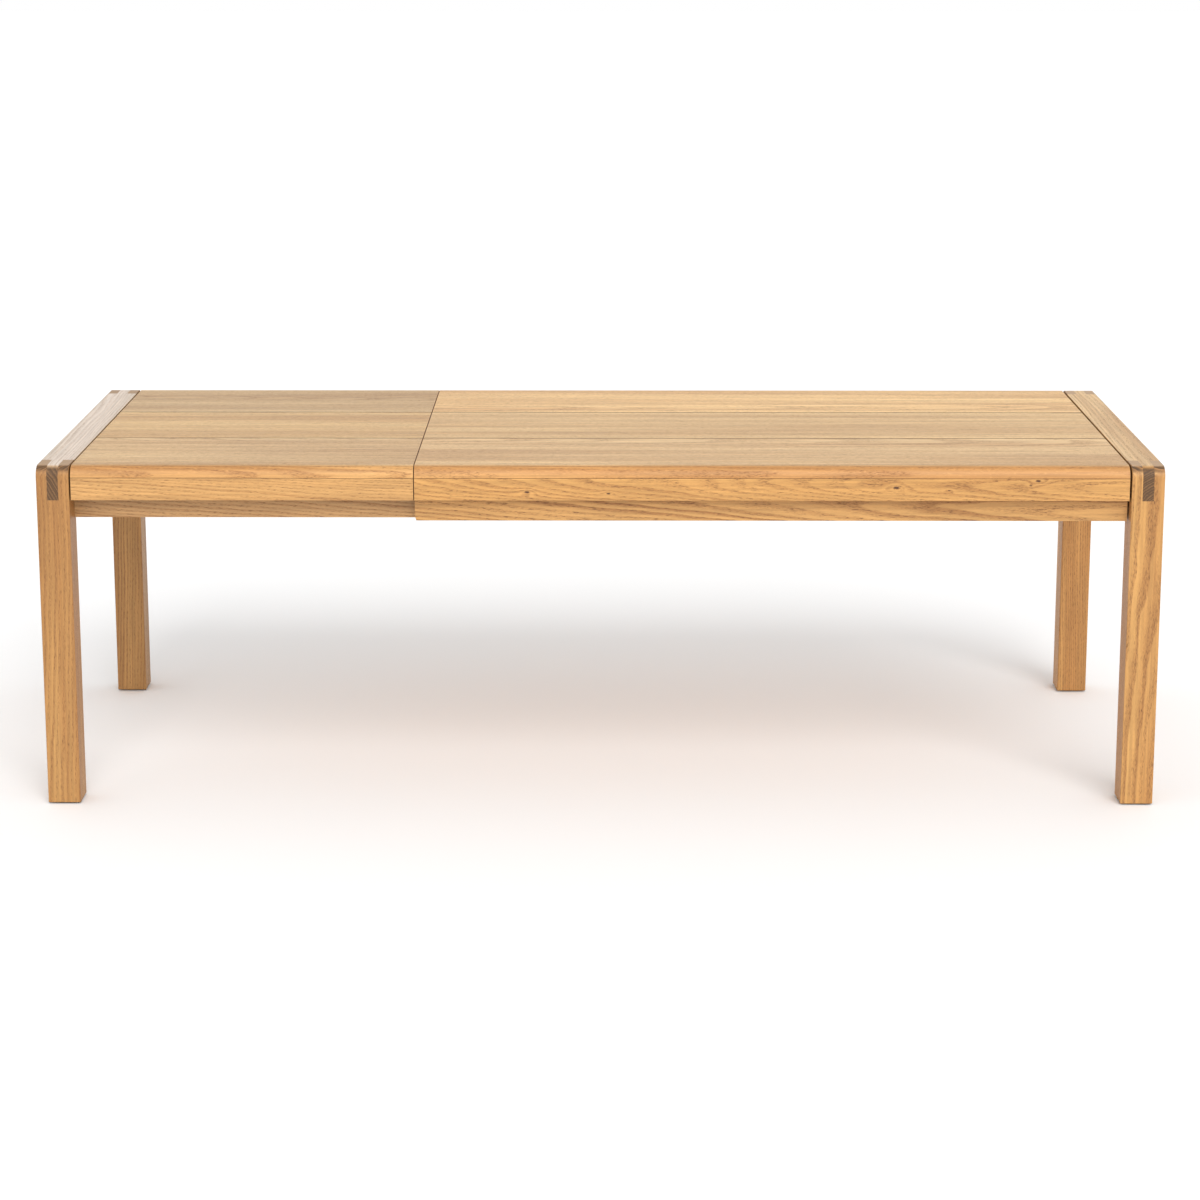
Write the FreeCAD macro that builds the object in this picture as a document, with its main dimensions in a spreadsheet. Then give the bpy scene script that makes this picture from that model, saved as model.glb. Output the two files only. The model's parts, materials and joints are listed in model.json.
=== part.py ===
import FreeCAD, Part
import Sketcher
import math
import os

# Extendable dining table in solid oak, shown pulled out with its leaf in place.
#
# X runs along the table, towards the end frame that stays put.  The front is -Y and Z is up.
# The origin is on the floor, under the middle of the table.
#
# A fixed section (top, fascias, aprons, right-hand end frame) carries two guide tongues.  The
# left-hand end frame hangs on two runners, grooved to slide along those tongues.  The loose leaf
# drops in between on four pegs, and two sliding bolts lock the runners, pulled out or closed.

doc = FreeCAD.newDocument("extendable_table")
TOLERANCE = 0.01
UP = (0, 0, 1)

# ---------------------------------------------------------------------------------------------
# Driving sizes in millimetres, each set once
# ---------------------------------------------------------------------------------------------

SIZES = (
    ("table_length", 2400, "outside length with the leaf in"),
    ("table_width", 950, "outside width"),
    ("table_height", 750, "floor to top"),
    ("leg_side", 70, "side of a square leg, and width of a top rail"),
    ("glide_lift", 3, "height of the glide under a leg"),
    ("glide_radius", 19, "radius of a glide's pad"),
    ("glide_rounding", 1, "rounding under a glide"),
    ("glide_pin_radius", 2, "radius of a glide's pin"),
    ("glide_pin_length", 22, "length of a glide's pin inside the leg"),
    ("tenon_thickness", 24, "thickness of a top rail's tenon"),
    ("board_thickness", 25, "thickness of the top boards"),
    ("board_count", 3, "boards across the top"),
    ("edge_flat", 1, "flat left under the rounding of the long top edges"),
    ("arris", 1.2, "easing of the sharp wooden edges"),
    ("leg_arris", 2, "easing of the legs' edges"),
    ("fascia_height", 49, "strip glued under a long edge"),
    ("fascia_thickness", 25, "thickness of that strip"),
    ("apron_height", 98, "height of the aprons under the boards"),
    ("apron_thickness", 27, "thickness of the aprons"),
    ("nose_height", 8, "height of the bevel at an apron's free end"),
    ("nose_depth", 3, "length of that bevel along the apron"),
    ("shadow_gap", 4, "gap between the top and the fixed end frame"),
    ("leaf_length", 730, "length of the loose leaf"),
    ("frame_gap", 3, "gap between the sliding end frame and the leaf"),
    ("leaf_joint", 1, "gap between the leaf and the main top"),
    ("runner_thickness", 30, "thickness of a runner"),
    ("runner_gap", 3, "side gap between an apron and its runner"),
    ("runner_drop", 2, "gap between a runner and the boards above"),
    ("tongue_height", 12, "height of a guide tongue"),
    ("tongue_depth", 23, "boards down to the top of a guide tongue"),
    ("tongue_inset", 8, "depth of a guide tongue inside its apron"),
    ("tongue_reach", 11.5, "how far a guide tongue stands out"),
    ("slide_clearance", 0.5, "gap round a guide tongue in its runner"),
    ("batten_width", 60, "width of a batten under the boards"),
    ("batten_thickness", 20, "thickness of a batten"),
    ("batten_end_gap", 5, "gap between a batten's end and a runner"),
    ("batten_inset", 60, "end of a top section to its first batten"),
    ("end_rail_thickness", 30, "thickness of the rail that closes the aprons"),
    ("tie_thickness", 30, "thickness of the ties between the runners"),
    ("frame_tie_gap", 8, "gap between the boards and the tie at the end frame"),
    ("end_tie_gap", 5, "gap between the battens and the tie at the runners' ends"),
    ("end_tie_height", 60, "height of the tie at the runners' ends"),
    ("stop_gap", 1, "play left at a stop"),
    ("stop_length", 30, "length of a stop block"),
    ("stop_width", 80, "width of a stop block"),
    ("stop_height", 45, "height of a stop block"),
    ("stop_offset", 250, "middle of the table to a stop block"),
    ("buffer_length", 14, "length of a closing buffer"),
    ("buffer_radius", 10, "radius of a closing buffer"),
    ("bolt_radius", 4, "radius of a frame bolt"),
    ("bolt_grip", 40, "length of a frame bolt inside the top rail"),
    ("bolt_drop", 25, "boards' underside down to a frame bolt"),
    ("bolt_near", 110, "middle of the table to an inner frame bolt"),
    ("bolt_far", 330, "middle of the table to an outer frame bolt"),
    ("bolt_head_height", 5.5, "height of a bolt head"),
    ("bolt_head_width", 13, "width of a bolt head across its flats"),
    ("washer_radius", 9, "radius of a washer"),
    ("washer_thickness", 2, "thickness of a washer"),
    ("spacer_radius", 12, "radius of a shadow gap spacer"),
    ("dowel_radius", 5, "radius of an end rail dowel"),
    ("dowel_length", 50, "length of an end rail dowel"),
    ("dowel_cover", 9, "wood left outside a dowel in an apron"),
    ("dowel_inset", 24.5, "apron's edge to a dowel"),
    ("peg_radius", 5, "radius of a leaf peg"),
    ("peg_length", 29, "length of a leaf peg"),
    ("peg_grip", 12, "length of a leaf peg inside the board"),
    ("peg_clearance", 0.3, "gap round a peg in its hole"),
    ("peg_hole_spare", 1.2, "gap under a peg in its hole"),
    ("peg_chamfer", 1.25, "chamfer at a peg's tip"),
    ("peg_inset", 75, "leaf's end to a peg"),
    ("pad_length", 60, "length of a felt rest pad"),
    ("pad_inset", 210, "leaf's end to a rest pad"),
    ("screw_radius", 2.2, "radius of a wood screw"),
    ("screw_head_radius", 4.2, "radius of a wood screw's head"),
    ("screw_length", 35, "length of a batten screw"),
    ("screw_inside_seam", 60, "seam to a batten screw in the middle board"),
    ("screw_outside_seam", 45, "seam to the nearer batten screw in an outer board"),
    ("screw_from_end", 40, "batten's end to its last screw"),
    ("stop_screw_length", 60, "length of a screw through a stop block"),
    ("small_screw_length", 16, "length of a bracket screw"),
    ("tie_screw_length", 70, "length of a screw through a runner into a tie"),
    ("tie_screw_rise", 15, "end tie's underside to its lower screws"),
    ("tie_screw_pitch", 20, "lower to upper screws of the end tie"),
    ("bracket_leg", 45, "length of a corner bracket's legs"),
    ("bracket_height", 40, "height of a corner bracket"),
    ("bracket_plate", 3, "thickness of a corner bracket"),
    ("bracket_rise", 23, "runner's underside to a corner bracket"),
    ("bracket_screw_reach", 28, "bracket's corner to its screws"),
    ("bracket_screw_edge", 10, "bracket's edge to its screws"),
    ("lock_radius", 4, "radius of a lock bolt"),
    ("lock_length", 78, "length of a lock bolt"),
    ("lock_travel", 14, "throw of a lock bolt"),
    ("lock_retreat", 2, "gap between a lock bolt and its runner when drawn back"),
    ("lock_drop", 9, "batten's underside down to a lock bolt's axis"),
    ("lock_clearance", 0.08, "gap round a lock bolt in its keeper"),
    ("lock_hole_clearance", 0.5, "gap round a lock bolt in its runner"),
    ("lock_hole_spare", 1, "gap past a lock bolt's end in its runner"),
    ("keeper_plate", 2, "thickness of a keeper's plate"),
    ("keeper_width", 34, "width of a keeper's plate"),
    ("keeper_length", 70, "length of a keeper's plate"),
    ("keeper_loop", 8, "length of a keeper's loop"),
    ("keeper_wall", 4, "wall of a keeper's loop round the bolt"),
    ("keeper_loop_flat", 0.5, "flat left on top of a keeper's loop"),
    ("keeper_loop_inset", 11, "keeper's end to its nearer loop"),
    ("keeper_screw_edge", 1.5, "keeper's edge to a screw's head"),
    ("lock_rounding", 1, "rounding of a lock bolt's and its knob's ends"),
    ("knob_radius", 3.5, "radius of a lock bolt's knob"),
    ("knob_length", 12, "length of a lock bolt's knob"),
)

# Places worked out from the sizes above.  "left" and "right" are X, "front" is Y and
# "under" and "top" are Z.
LAYOUT = (
    ("half_length", "=sizes.table_length / 2", "end of the table"),
    ("front", "=-sizes.table_width / 2", "front plane"),
    ("fixed_frame_left", "=half_length - sizes.leg_side", "inner face of the fixed end frame"),
    ("main_right", "=fixed_frame_left - sizes.shadow_gap", "right end of the main top"),
    ("slide_frame_right", "=-half_length + sizes.leg_side", "inner face of the sliding end frame"),
    ("leaf_left", "=slide_frame_right + sizes.frame_gap", "left end of the leaf"),
    ("main_left", "=leaf_left + sizes.leaf_length + sizes.leaf_joint", "left end of the main top"),
    ("main_length", "=main_right - main_left", "length of the main top"),
    ("travel", "=main_left - sizes.frame_gap - slide_frame_right", "closing travel of the end frame"),
    ("board_width", "=sizes.table_width / sizes.board_count", "width of a top board"),
    ("boards_under", "=sizes.table_height - sizes.board_thickness", "underside of the boards"),
    ("edge_radius", "=sizes.board_thickness - sizes.edge_flat", "rounding of the long top edges"),
    ("rail_height", "=sizes.board_thickness + sizes.fascia_height", "height of a top rail"),
    ("rail_under", "=sizes.table_height - rail_height", "underside of a top rail"),
    ("leg_height", "=sizes.table_height - sizes.glide_lift", "length of a leg"),
    ("cheek", "=(sizes.leg_side - sizes.tenon_thickness) / 2", "cheek beside a tenon"),
    ("apron_under", "=boards_under - sizes.apron_height", "underside of aprons and runners"),
    ("apron_front", "=front + sizes.fascia_thickness", "outer face of the front apron"),
    ("apron_back", "=apron_front + sizes.apron_thickness", "inner face of the front apron"),
    ("runner_front", "=apron_back + sizes.runner_gap", "outer face of the front runner"),
    ("runner_back", "=runner_front + sizes.runner_thickness", "inner face of the front runner"),
    ("runner_height", "=sizes.apron_height - sizes.runner_drop", "height of a runner"),
    ("tongue_under", "=boards_under - sizes.tongue_depth - sizes.tongue_height", "underside of a tongue"),
    ("batten_under", "=boards_under - sizes.batten_thickness", "underside of the battens"),
    ("batten_front", "=runner_back + sizes.batten_end_gap", "front end of a batten"),
    ("batten_length", "=-2 * batten_front", "length of a batten"),
    ("end_rail_left", "=main_right - sizes.end_rail_thickness", "inner face of the end rail"),
    ("runner_right", "=end_rail_left - sizes.buffer_length - sizes.stop_gap - travel", "runner's right end"),
    ("runner_length", "=runner_right - slide_frame_right", "length of a runner"),
    ("frame_tie_height", "=sizes.apron_height - sizes.frame_tie_gap", "height of the frame tie"),
    ("end_tie_left", "=runner_right - sizes.tie_thickness", "left face of the end tie"),
    ("end_tie_top", "=batten_under - sizes.end_tie_gap", "top of the end tie"),
    ("end_tie_under", "=end_tie_top - sizes.end_tie_height", "underside of the end tie"),
    ("stop_left", "=end_tie_left - sizes.stop_gap - sizes.stop_length", "left face of a stop block"),
    ("bolt_level", "=boards_under - sizes.bolt_drop", "height of the frame bolts"),
    ("first_batten", "=main_left + sizes.batten_inset", "left edge of the first main batten"),
    ("lock_x", "=first_batten + sizes.batten_width / 2", "lock bolt's place along the table"),
    ("lock_level", "=batten_under - sizes.lock_drop", "height of a lock bolt's axis"),
    ("runner_middle", "=(runner_front + runner_back) / 2", "middle of the front runner"),
    ("loop_radius", "=sizes.lock_radius + sizes.keeper_wall", "outer radius of a keeper's loop"),
)


def fill_sheet(name, rows):
    """Write one sheet: the meaning in column A, the value and its alias in column B."""
    sheet = doc.addObject("Spreadsheet::Sheet", name)
    for number, (alias, content, meaning) in enumerate(rows, start=1):
        sheet.set(f"A{number}", meaning)
        sheet.set(f"B{number}", str(content))
        sheet.setAlias(f"B{number}", alias)
    doc.recompute()
    return sheet


sizes = fill_sheet("sizes", SIZES)
layout = fill_sheet("layout", LAYOUT)


LAYOUT_NAMES = {alias for alias, formula, meaning in LAYOUT}


def value(name):
    """Read a size or a worked-out place as a number."""
    source = layout if name in LAYOUT_NAMES else sizes
    return float(source.get(name))


# ---------------------------------------------------------------------------------------------
# Ways of making a piece
# ---------------------------------------------------------------------------------------------


def bind(thing, **expressions):
    """Bind properties to expressions; a double underscore stands for the dots of a sub-property."""
    for name, expression in expressions.items():
        thing.setExpression(name.replace("__", "."), expression)


def place(piece, x="0", y="0", z="0"):
    """Put a piece's own origin at a place given by three expressions."""
    bind(piece, Placement__Base__x=x, Placement__Base__y=y, Placement__Base__z=z)


def origin_plane(body, role):
    """Find one of a body's own three origin planes."""
    return next(item for item in body.Origin.OriginFeatures if item.Role == role)


def new_sketch(body, role, offset):
    """Start a sketch on an origin plane, lifted off it along the plane's normal."""
    sketch = body.newObject("Sketcher::SketchObject", body.Name + "_sketch")
    sketch.AttachmentSupport = [(origin_plane(body, role), "")]
    sketch.MapMode = "FlatFace"
    sketch.setExpression("AttachmentOffset.Base.z", offset)
    return sketch


def dimension(sketch, kind, ends, expression):
    """Add one dimension and bind it; a zero distance ties the point to the axis instead."""
    if expression == "0":
        axis = -2 if kind == "DistanceX" else -1
        sketch.addConstraint(Sketcher.Constraint("PointOnObject", *ends[2:], axis))
        return
    amount = sketch.evalExpression(expression)
    number = sketch.addConstraint(Sketcher.Constraint(kind, *ends, float(amount)))
    sketch.setExpression(f"Constraints[{number}]", expression)


def draw_rectangle(sketch, near, far):
    """Draw a rectangle between two corners, each a pair of expressions."""
    x0, y0, x1, y1 = (float(sketch.evalExpression(item)) for item in (*near, *far))
    corners = [FreeCAD.Vector(x, y, 0) for x, y in ((x0, y0), (x1, y0), (x1, y1), (x0, y1))]
    sides = [Part.LineSegment(corners[i], corners[(i + 1) % 4]) for i in range(4)]
    first = sketch.addGeometry(sides, False)[0]
    for side in range(4):
        following = first + (side + 1) % 4
        sketch.addConstraint(Sketcher.Constraint("Coincident", first + side, 2, following, 1))
        direction = "Horizontal" if side % 2 == 0 else "Vertical"
        sketch.addConstraint(Sketcher.Constraint(direction, first + side))
    dimension(sketch, "DistanceX", (-1, 1, first, 1), near[0])
    dimension(sketch, "DistanceY", (-1, 1, first, 1), near[1])
    dimension(sketch, "DistanceX", (-1, 1, first + 1, 2), far[0])
    dimension(sketch, "DistanceY", (-1, 1, first + 1, 2), far[1])


def draw_circle(sketch, centre, radius):
    """Draw a circle whose centre is a pair of expressions."""
    x, y, size = (float(sketch.evalExpression(item)) for item in (*centre, radius))
    circle = Part.Circle(FreeCAD.Vector(x, y, 0), FreeCAD.Vector(0, 0, 1), size)
    number = sketch.addGeometry(circle, False)
    dimension(sketch, "DistanceX", (-1, 1, number, 3), centre[0])
    dimension(sketch, "DistanceY", (-1, 1, number, 3), centre[1])
    radius_constraint = sketch.addConstraint(Sketcher.Constraint("Radius", number, size))
    sketch.setExpression(f"Constraints[{radius_constraint}]", radius)


def build_up(body, role, offset, length, outline, reverse=False):
    """Pad an outline from a sketch plane onto a body."""
    sketch = new_sketch(body, role, offset)
    outline(sketch)
    pad = body.newObject("PartDesign::Pad", body.Name + "_pad")
    pad.Profile = sketch
    pad.Reversed = reverse
    bind(pad, Length=length)
    doc.recompute()


def block(name, length, width, height):
    """A squared block from its own origin: length along X, width along Y, height along Z."""
    body = doc.addObject("PartDesign::Body", name)
    build_up(body, "XY_Plane", "0", height, rectangle(("0", "0"), (length, width)))
    return body


def cut_in(body, role, offset, depth, outlines, reverse=False):
    """Pocket a body from a sketch plane, and make sure that the pocket removed wood."""
    before = body.Tip.Shape.Volume
    sketch = new_sketch(body, role, offset)
    for outline in outlines:
        outline(sketch)
    pocket = body.newObject("PartDesign::Pocket", body.Name + "_pocket")
    pocket.Profile = sketch
    pocket.Reversed = reverse
    bind(pocket, Length=depth)
    doc.recompute()
    if body.Tip.Shape.Volume > before - TOLERANCE:
        raise RuntimeError(f"{body.Label}: a pocket removed nothing")


def rectangle(near, far):
    """An outline for a pad or pocket: a rectangle between two corners."""
    return lambda sketch: draw_rectangle(sketch, near, far)


def circle(centre, radius):
    """An outline for a pad or pocket: a circle."""
    return lambda sketch: draw_circle(sketch, centre, radius)


def same(a, b):
    """Whether two coordinates agree."""
    return abs(a - b) < TOLERANCE


def round_edges(body, radius, chosen):
    """Round the edges whose middle point passes the test."""
    base = body.Tip
    names = []
    for number, edge in enumerate(base.Shape.Edges, start=1):
        middle = edge.valueAt((edge.FirstParameter + edge.LastParameter) / 2)
        if chosen(middle):
            names.append(f"Edge{number}")
    if not names:
        raise RuntimeError(f"{body.Label}: no edge to round")
    fillet = body.newObject("PartDesign::Fillet", body.Name + "_fillet")
    fillet.Base = (base, names)
    bind(fillet, Radius=radius)
    doc.recompute()
    if not body.Tip.Shape.isValid() or "Invalid" in fillet.State:
        raise RuntimeError(f"{body.Label}: the edges could not be rounded")


def fit_round(blank, fasteners, label):
    """Cut the holes that hold a group of fasteners out of a blank."""
    cut = doc.addObject("Part::Cut", label)
    cut.Base = blank
    cut.Tool = fasteners
    cut.Label = label
    return cut


def mirror_to_back(piece, label):
    """The matching piece at the back of the table."""
    copy = doc.addObject("Part::Mirroring", label)
    copy.Source = piece
    copy.Normal = FreeCAD.Vector(0, 1, 0)
    copy.Label = label
    return copy


def group(label, shapes):
    """Identical loose pieces that share one node."""
    piece = doc.addObject("Part::Feature", label)
    piece.Shape = Part.makeCompound(shapes)
    piece.Label = label
    return piece


nodes = []


def keep(*pieces):
    """Note finished pieces for writing out."""
    nodes.extend(pieces)


# ---------------------------------------------------------------------------------------------
# Fasteners
# ---------------------------------------------------------------------------------------------


def along(shape, direction, point):
    """Turn a shape made along +Z to another direction, and move it to a point."""
    turned = shape.copy()
    turned.Placement = FreeCAD.Placement(
        FreeCAD.Vector(*point),
        FreeCAD.Rotation(FreeCAD.Vector(0, 0, 1), FreeCAD.Vector(*direction)),
    )
    return turned


def hexagon_prism(across_flats, height):
    """A hexagonal prism standing on the origin."""
    corner = across_flats / math.sqrt(3)
    points = [
        FreeCAD.Vector(corner * math.cos(i * math.pi / 3), corner * math.sin(i * math.pi / 3), 0)
        for i in range(7)
    ]
    return Part.Face(Part.makePolygon(points)).extrude(FreeCAD.Vector(0, 0, height))


def wood_screw(length):
    """A countersunk screw: its flat head is at the origin and its point is up."""
    radius = value("screw_radius")
    head_radius = value("screw_head_radius")
    head_depth = head_radius - radius
    point_length = 2 * radius
    head = Part.makeCone(head_radius, radius, head_depth)
    shank_length = length - head_depth - point_length
    shank = Part.makeCylinder(radius, shank_length, FreeCAD.Vector(0, 0, head_depth))
    tip = Part.makeCone(radius, 0, point_length, FreeCAD.Vector(0, 0, head_depth + shank_length))
    return head.fuse([shank, tip]).removeSplitter()


def screws(label, places, length_name):
    """A group of wood screws driven upwards from their heads' places."""
    screw = wood_screw(value(length_name))
    return group(label, [along(screw, UP, point) for point in places])


def frame_bolt(length):
    """A hexagon bolt: its head is under the origin and its shank stands up from it."""
    head_height = value("bolt_head_height")
    head = hexagon_prism(value("bolt_head_width"), head_height)
    head.translate(FreeCAD.Vector(0, 0, -head_height))
    return head.fuse(Part.makeCylinder(value("bolt_radius"), length))


def ring(outer, inner, thickness):
    """A flat ring standing on the origin."""
    return Part.makeCylinder(outer, thickness).cut(Part.makeCylinder(inner, thickness))


def bolt_rows():
    """Places of the frame bolts across the table."""
    near, far = value("bolt_near"), value("bolt_far")
    return (-far, -near, near, far)


def bolts_and_washers(side, face, reach, direction):
    """The bolts of one end frame, with their washers, from the face that the washers sit on."""
    thickness = value("washer_thickness")
    level = value("bolt_level")
    bolt = frame_bolt(thickness + reach + value("bolt_grip"))
    washer = ring(value("washer_radius"), value("bolt_radius"), thickness)
    start = face - direction * thickness
    places = [(start, y, level) for y in bolt_rows()]
    bolts = group(side + "_frame_bolts", [along(bolt, (direction, 0, 0), p) for p in places])
    washers = group(side + "_frame_washers", [along(washer, (direction, 0, 0), p) for p in places])
    return bolts, washers


def batten_screw_rows():
    """Places across the table where a batten is screwed, two to each board."""
    seam = value("board_width") / 2
    rows = (
        seam - value("screw_inside_seam"),
        seam + value("screw_outside_seam"),
        value("batten_length") / 2 - value("screw_from_end"),
    )
    return [sign * y for y in rows for sign in (-1, 1)]


def batten_screws(label, lefts):
    """The screws of the battens whose left edges are given."""
    level = value("batten_under")
    half = value("batten_width") / 2
    places = [(left + half, y, level) for left in lefts for y in batten_screw_rows()]
    return screws(label, places, "screw_length")


# ---------------------------------------------------------------------------------------------
# End frames: two legs and a top rail joined by open through tenons
# ---------------------------------------------------------------------------------------------


def leg_blank(name, left):
    """A front leg with the open slot for the rail's tenon and a rounded front top edge."""
    leg = block(name, "sizes.leg_side", "sizes.leg_side", "layout.leg_height")
    side, top = value("leg_side"), value("leg_height")
    round_edges(leg, "layout.edge_radius", lambda p: same(p.y, 0) and same(p.z, top))
    round_edges(
        leg,
        "sizes.leg_arris",
        lambda p: same(p.z, 0) or (p.z < top - side and (same(p.x, 0) or same(p.x, side))),
    )
    cut_in(
        leg,
        "XZ_Plane",
        "0",
        "sizes.leg_side",
        [rectangle(
            ("layout.cheek", "layout.leg_height - layout.rail_height"),
            ("layout.cheek + sizes.tenon_thickness", "layout.leg_height + sizes.leg_arris"),
        )],
    )
    place(leg, left, "layout.front", "sizes.glide_lift")
    return leg


def top_rail_blank(name, left):
    """A rail across the table's end, its tenons as long as the legs are deep."""
    rail = block(name, "sizes.leg_side", "sizes.table_width", "layout.rail_height")
    side, width, top = value("leg_side"), value("table_width"), value("rail_height")
    round_edges(
        rail,
        "layout.edge_radius",
        lambda p: same(p.z, top) and (same(p.y, 0) or same(p.y, width)),
    )
    far_cheek = "layout.cheek + sizes.tenon_thickness"
    back_shoulder = "sizes.table_width - sizes.leg_side"
    corners = [
        rectangle((left_side, front), (right_side, back))
        for left_side, right_side in (("0", "layout.cheek"), (far_cheek, "sizes.leg_side"))
        for front, back in (("0", "sizes.leg_side"), (back_shoulder, "sizes.table_width"))
    ]
    cut_in(rail, "XY_Plane", "layout.rail_height", "layout.rail_height", corners)
    round_edges(
        rail,
        "sizes.arris",
        lambda p: same(p.y, width / 2) and (same(p.x, 0) or same(p.x, side)),
    )
    place(rail, left, "layout.front", "layout.rail_under")
    return rail


def glides(label, left):
    """The two glides of one end frame: a pad on the floor and a pin up into the leg."""
    lift = value("glide_lift")
    radius = value("glide_radius")
    pad = Part.makeCylinder(radius, lift)
    rounding = value("glide_rounding")
    pad = pad.makeFillet(rounding, [edge for edge in pad.Edges if same(edge.BoundBox.ZMax, 0)])
    pin = Part.makeCylinder(value("glide_pin_radius"), value("glide_pin_length"), FreeCAD.Vector(0, 0, lift))
    glide = pad.fuse(pin)
    half = value("leg_side") / 2
    row = value("front") + half
    return group(label, [along(glide, UP, (left + half, y, 0)) for y in (row, -row)])


def end_frame(side, left_expression, left, bolts):
    """Legs, rail and glides of one end."""
    pads = glides(side + "_leg_glides", left)
    front_leg = fit_round(leg_blank(side + "_leg_blank", left_expression), pads, side + "_front_leg")
    back_leg = mirror_to_back(front_leg, side + "_back_leg")
    rail = fit_round(top_rail_blank(side + "_rail_blank", left_expression), bolts, side + "_top_rail")
    keep(front_leg, back_leg, rail, pads)


# ---------------------------------------------------------------------------------------------
# Top sections: boards, fascias and battens
# ---------------------------------------------------------------------------------------------


def edge_board(name, left, length):
    """The front board of a top section: a rounded front edge and eased ends and seam."""
    board = block(name, length, "layout.board_width", "sizes.board_thickness")
    width, top = value("board_width"), value("board_thickness")
    long_side = float(board.evalExpression(length))
    round_edges(board, "layout.edge_radius", lambda p: same(p.y, 0) and same(p.z, top))

    def eased(p):
        at_end = same(p.x, 0) or same(p.x, long_side)
        outer_end = at_end and p.z > TOLERANCE and p.y < width - TOLERANCE
        return outer_end or (same(p.y, width) and same(p.z, top))

    round_edges(board, "sizes.arris", eased)
    place(board, left, "layout.front", "layout.boards_under")
    return board


def middle_board(name, left, length):
    """The middle board of a top section, eased all round its top face."""
    board = block(name, length, "layout.board_width", "sizes.board_thickness")
    top = value("board_thickness")
    round_edges(board, "sizes.arris", lambda p: same(p.z, top))
    place(board, left, "layout.front + layout.board_width", "layout.boards_under")
    return board


def fascia(label, left, length):
    """The strip glued under the front edge of a top section."""
    strip = block(label, length, "sizes.fascia_thickness", "sizes.fascia_height")
    long_side = float(strip.evalExpression(length))
    top = value("fascia_height")

    def eased(p):
        at_end = same(p.x, 0) or same(p.x, long_side)
        return same(p.y, 0) and p.z < top - TOLERANCE and (at_end or same(p.z, 0))

    round_edges(strip, "sizes.arris", eased)
    place(strip, left, "layout.front", "layout.rail_under")
    return strip


def batten(name, left):
    """A flat cross batten under the boards."""
    strip = block(name, "sizes.batten_width", "layout.batten_length", "sizes.batten_thickness")
    round_edges(strip, "sizes.leg_arris", lambda p: same(p.z, 0))
    place(strip, left, "layout.batten_front", "layout.batten_under")
    return strip


def top_section(side, left, length, fixings):
    """The three boards and two fascias of one section, screwed from underneath."""
    front = fit_round(edge_board(side + "_board_blank", left, length), fixings, side + "_front_board")
    middle_blank = middle_board(side + "_middle_blank", left, length)
    middle = fit_round(middle_blank, fixings, side + "_middle_board")
    strip = fascia(side + "_front_fascia", left, length)
    keep(front, middle, mirror_to_back(front, side + "_back_board"))
    keep(strip, mirror_to_back(strip, side + "_back_fascia"))


def main_batten_lefts():
    """Left edges of the four battens of the fixed section, evenly spread, with their names."""
    names = ("left", "inner_left", "inner_right", "right")
    first = "layout.first_batten"
    last = "(layout.end_rail_left - sizes.batten_inset / 2 - sizes.batten_width)"
    steps = len(names) - 1
    return [(name, f"{first} + ({last} - {first}) * {i} / {steps}") for i, name in enumerate(names)]


def leaf_batten_lefts():
    """Left edges of the leaf's two battens, with their names."""
    right_end = "layout.leaf_left + sizes.leaf_length"
    return [
        ("left", "layout.leaf_left + sizes.batten_inset"),
        ("right", f"{right_end} - sizes.batten_inset - sizes.batten_width"),
    ]


def battens(side, places, fixings):
    """The battens of one section, drilled for their screws."""
    for name, left in places:
        label = f"{side}_{name}_batten"
        keep(fit_round(batten(label + "_blank", left), fixings, label))


# ---------------------------------------------------------------------------------------------
# Fixed section: aprons, end rail, guide tongues, stops and buffers
# ---------------------------------------------------------------------------------------------


def dowels():
    """The dowels that join the end rail to the aprons, two at each end."""
    dowel = Part.makeCylinder(value("dowel_radius"), value("dowel_length"))
    x = value("end_rail_left") + value("end_rail_thickness") / 2
    start = value("apron_front") + value("dowel_cover")
    inset = value("dowel_inset")
    shapes = []
    for level in (value("apron_under") + inset, value("boards_under") - inset):
        shapes.append(along(dowel, (0, 1, 0), (x, start, level)))
        shapes.append(along(dowel, (0, -1, 0), (x, -start, level)))
    return group("end_rail_dowels", shapes)


def apron_blank():
    """The front apron: a groove inside for its guide tongue and a bevelled free end."""
    apron = block("apron_blank", "layout.main_length", "sizes.apron_thickness", "sizes.apron_height")
    depth = value("apron_thickness")
    round_edges(apron, "sizes.arris", lambda p: same(p.z, 0) and not same(p.y, depth) and p.x > TOLERANCE)
    rise = "sizes.apron_height - sizes.tongue_depth - sizes.tongue_height"
    cut_in(
        apron,
        "XZ_Plane",
        "-sizes.apron_thickness",
        "sizes.tongue_inset",
        [rectangle(
            ("0", rise),
            ("layout.main_length - sizes.end_rail_thickness", "sizes.apron_height - sizes.tongue_depth"),
        )],
        reverse=True,
    )
    place(apron, "layout.main_left", "layout.apron_front", "layout.apron_under")
    return apron


def apron_nose():
    """The wedge sawn off the underside of an apron's free end."""
    height, depth = value("nose_height"), value("nose_depth")
    margin = value("arris")
    x, z = value("main_left"), value("apron_under")
    points = [
        FreeCAD.Vector(x - margin, 0, z - margin),
        FreeCAD.Vector(x + depth, 0, z - margin),
        FreeCAD.Vector(x + depth, 0, z),
        FreeCAD.Vector(x, 0, z + height),
        FreeCAD.Vector(x - margin, 0, z + height),
    ]
    face = Part.Face(Part.makePolygon(points + points[:1]))
    face.translate(FreeCAD.Vector(0, value("front"), 0))
    wedge = doc.addObject("Part::Feature", "apron_nose")
    wedge.Shape = face.extrude(FreeCAD.Vector(0, value("table_width"), 0))
    return wedge


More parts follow.
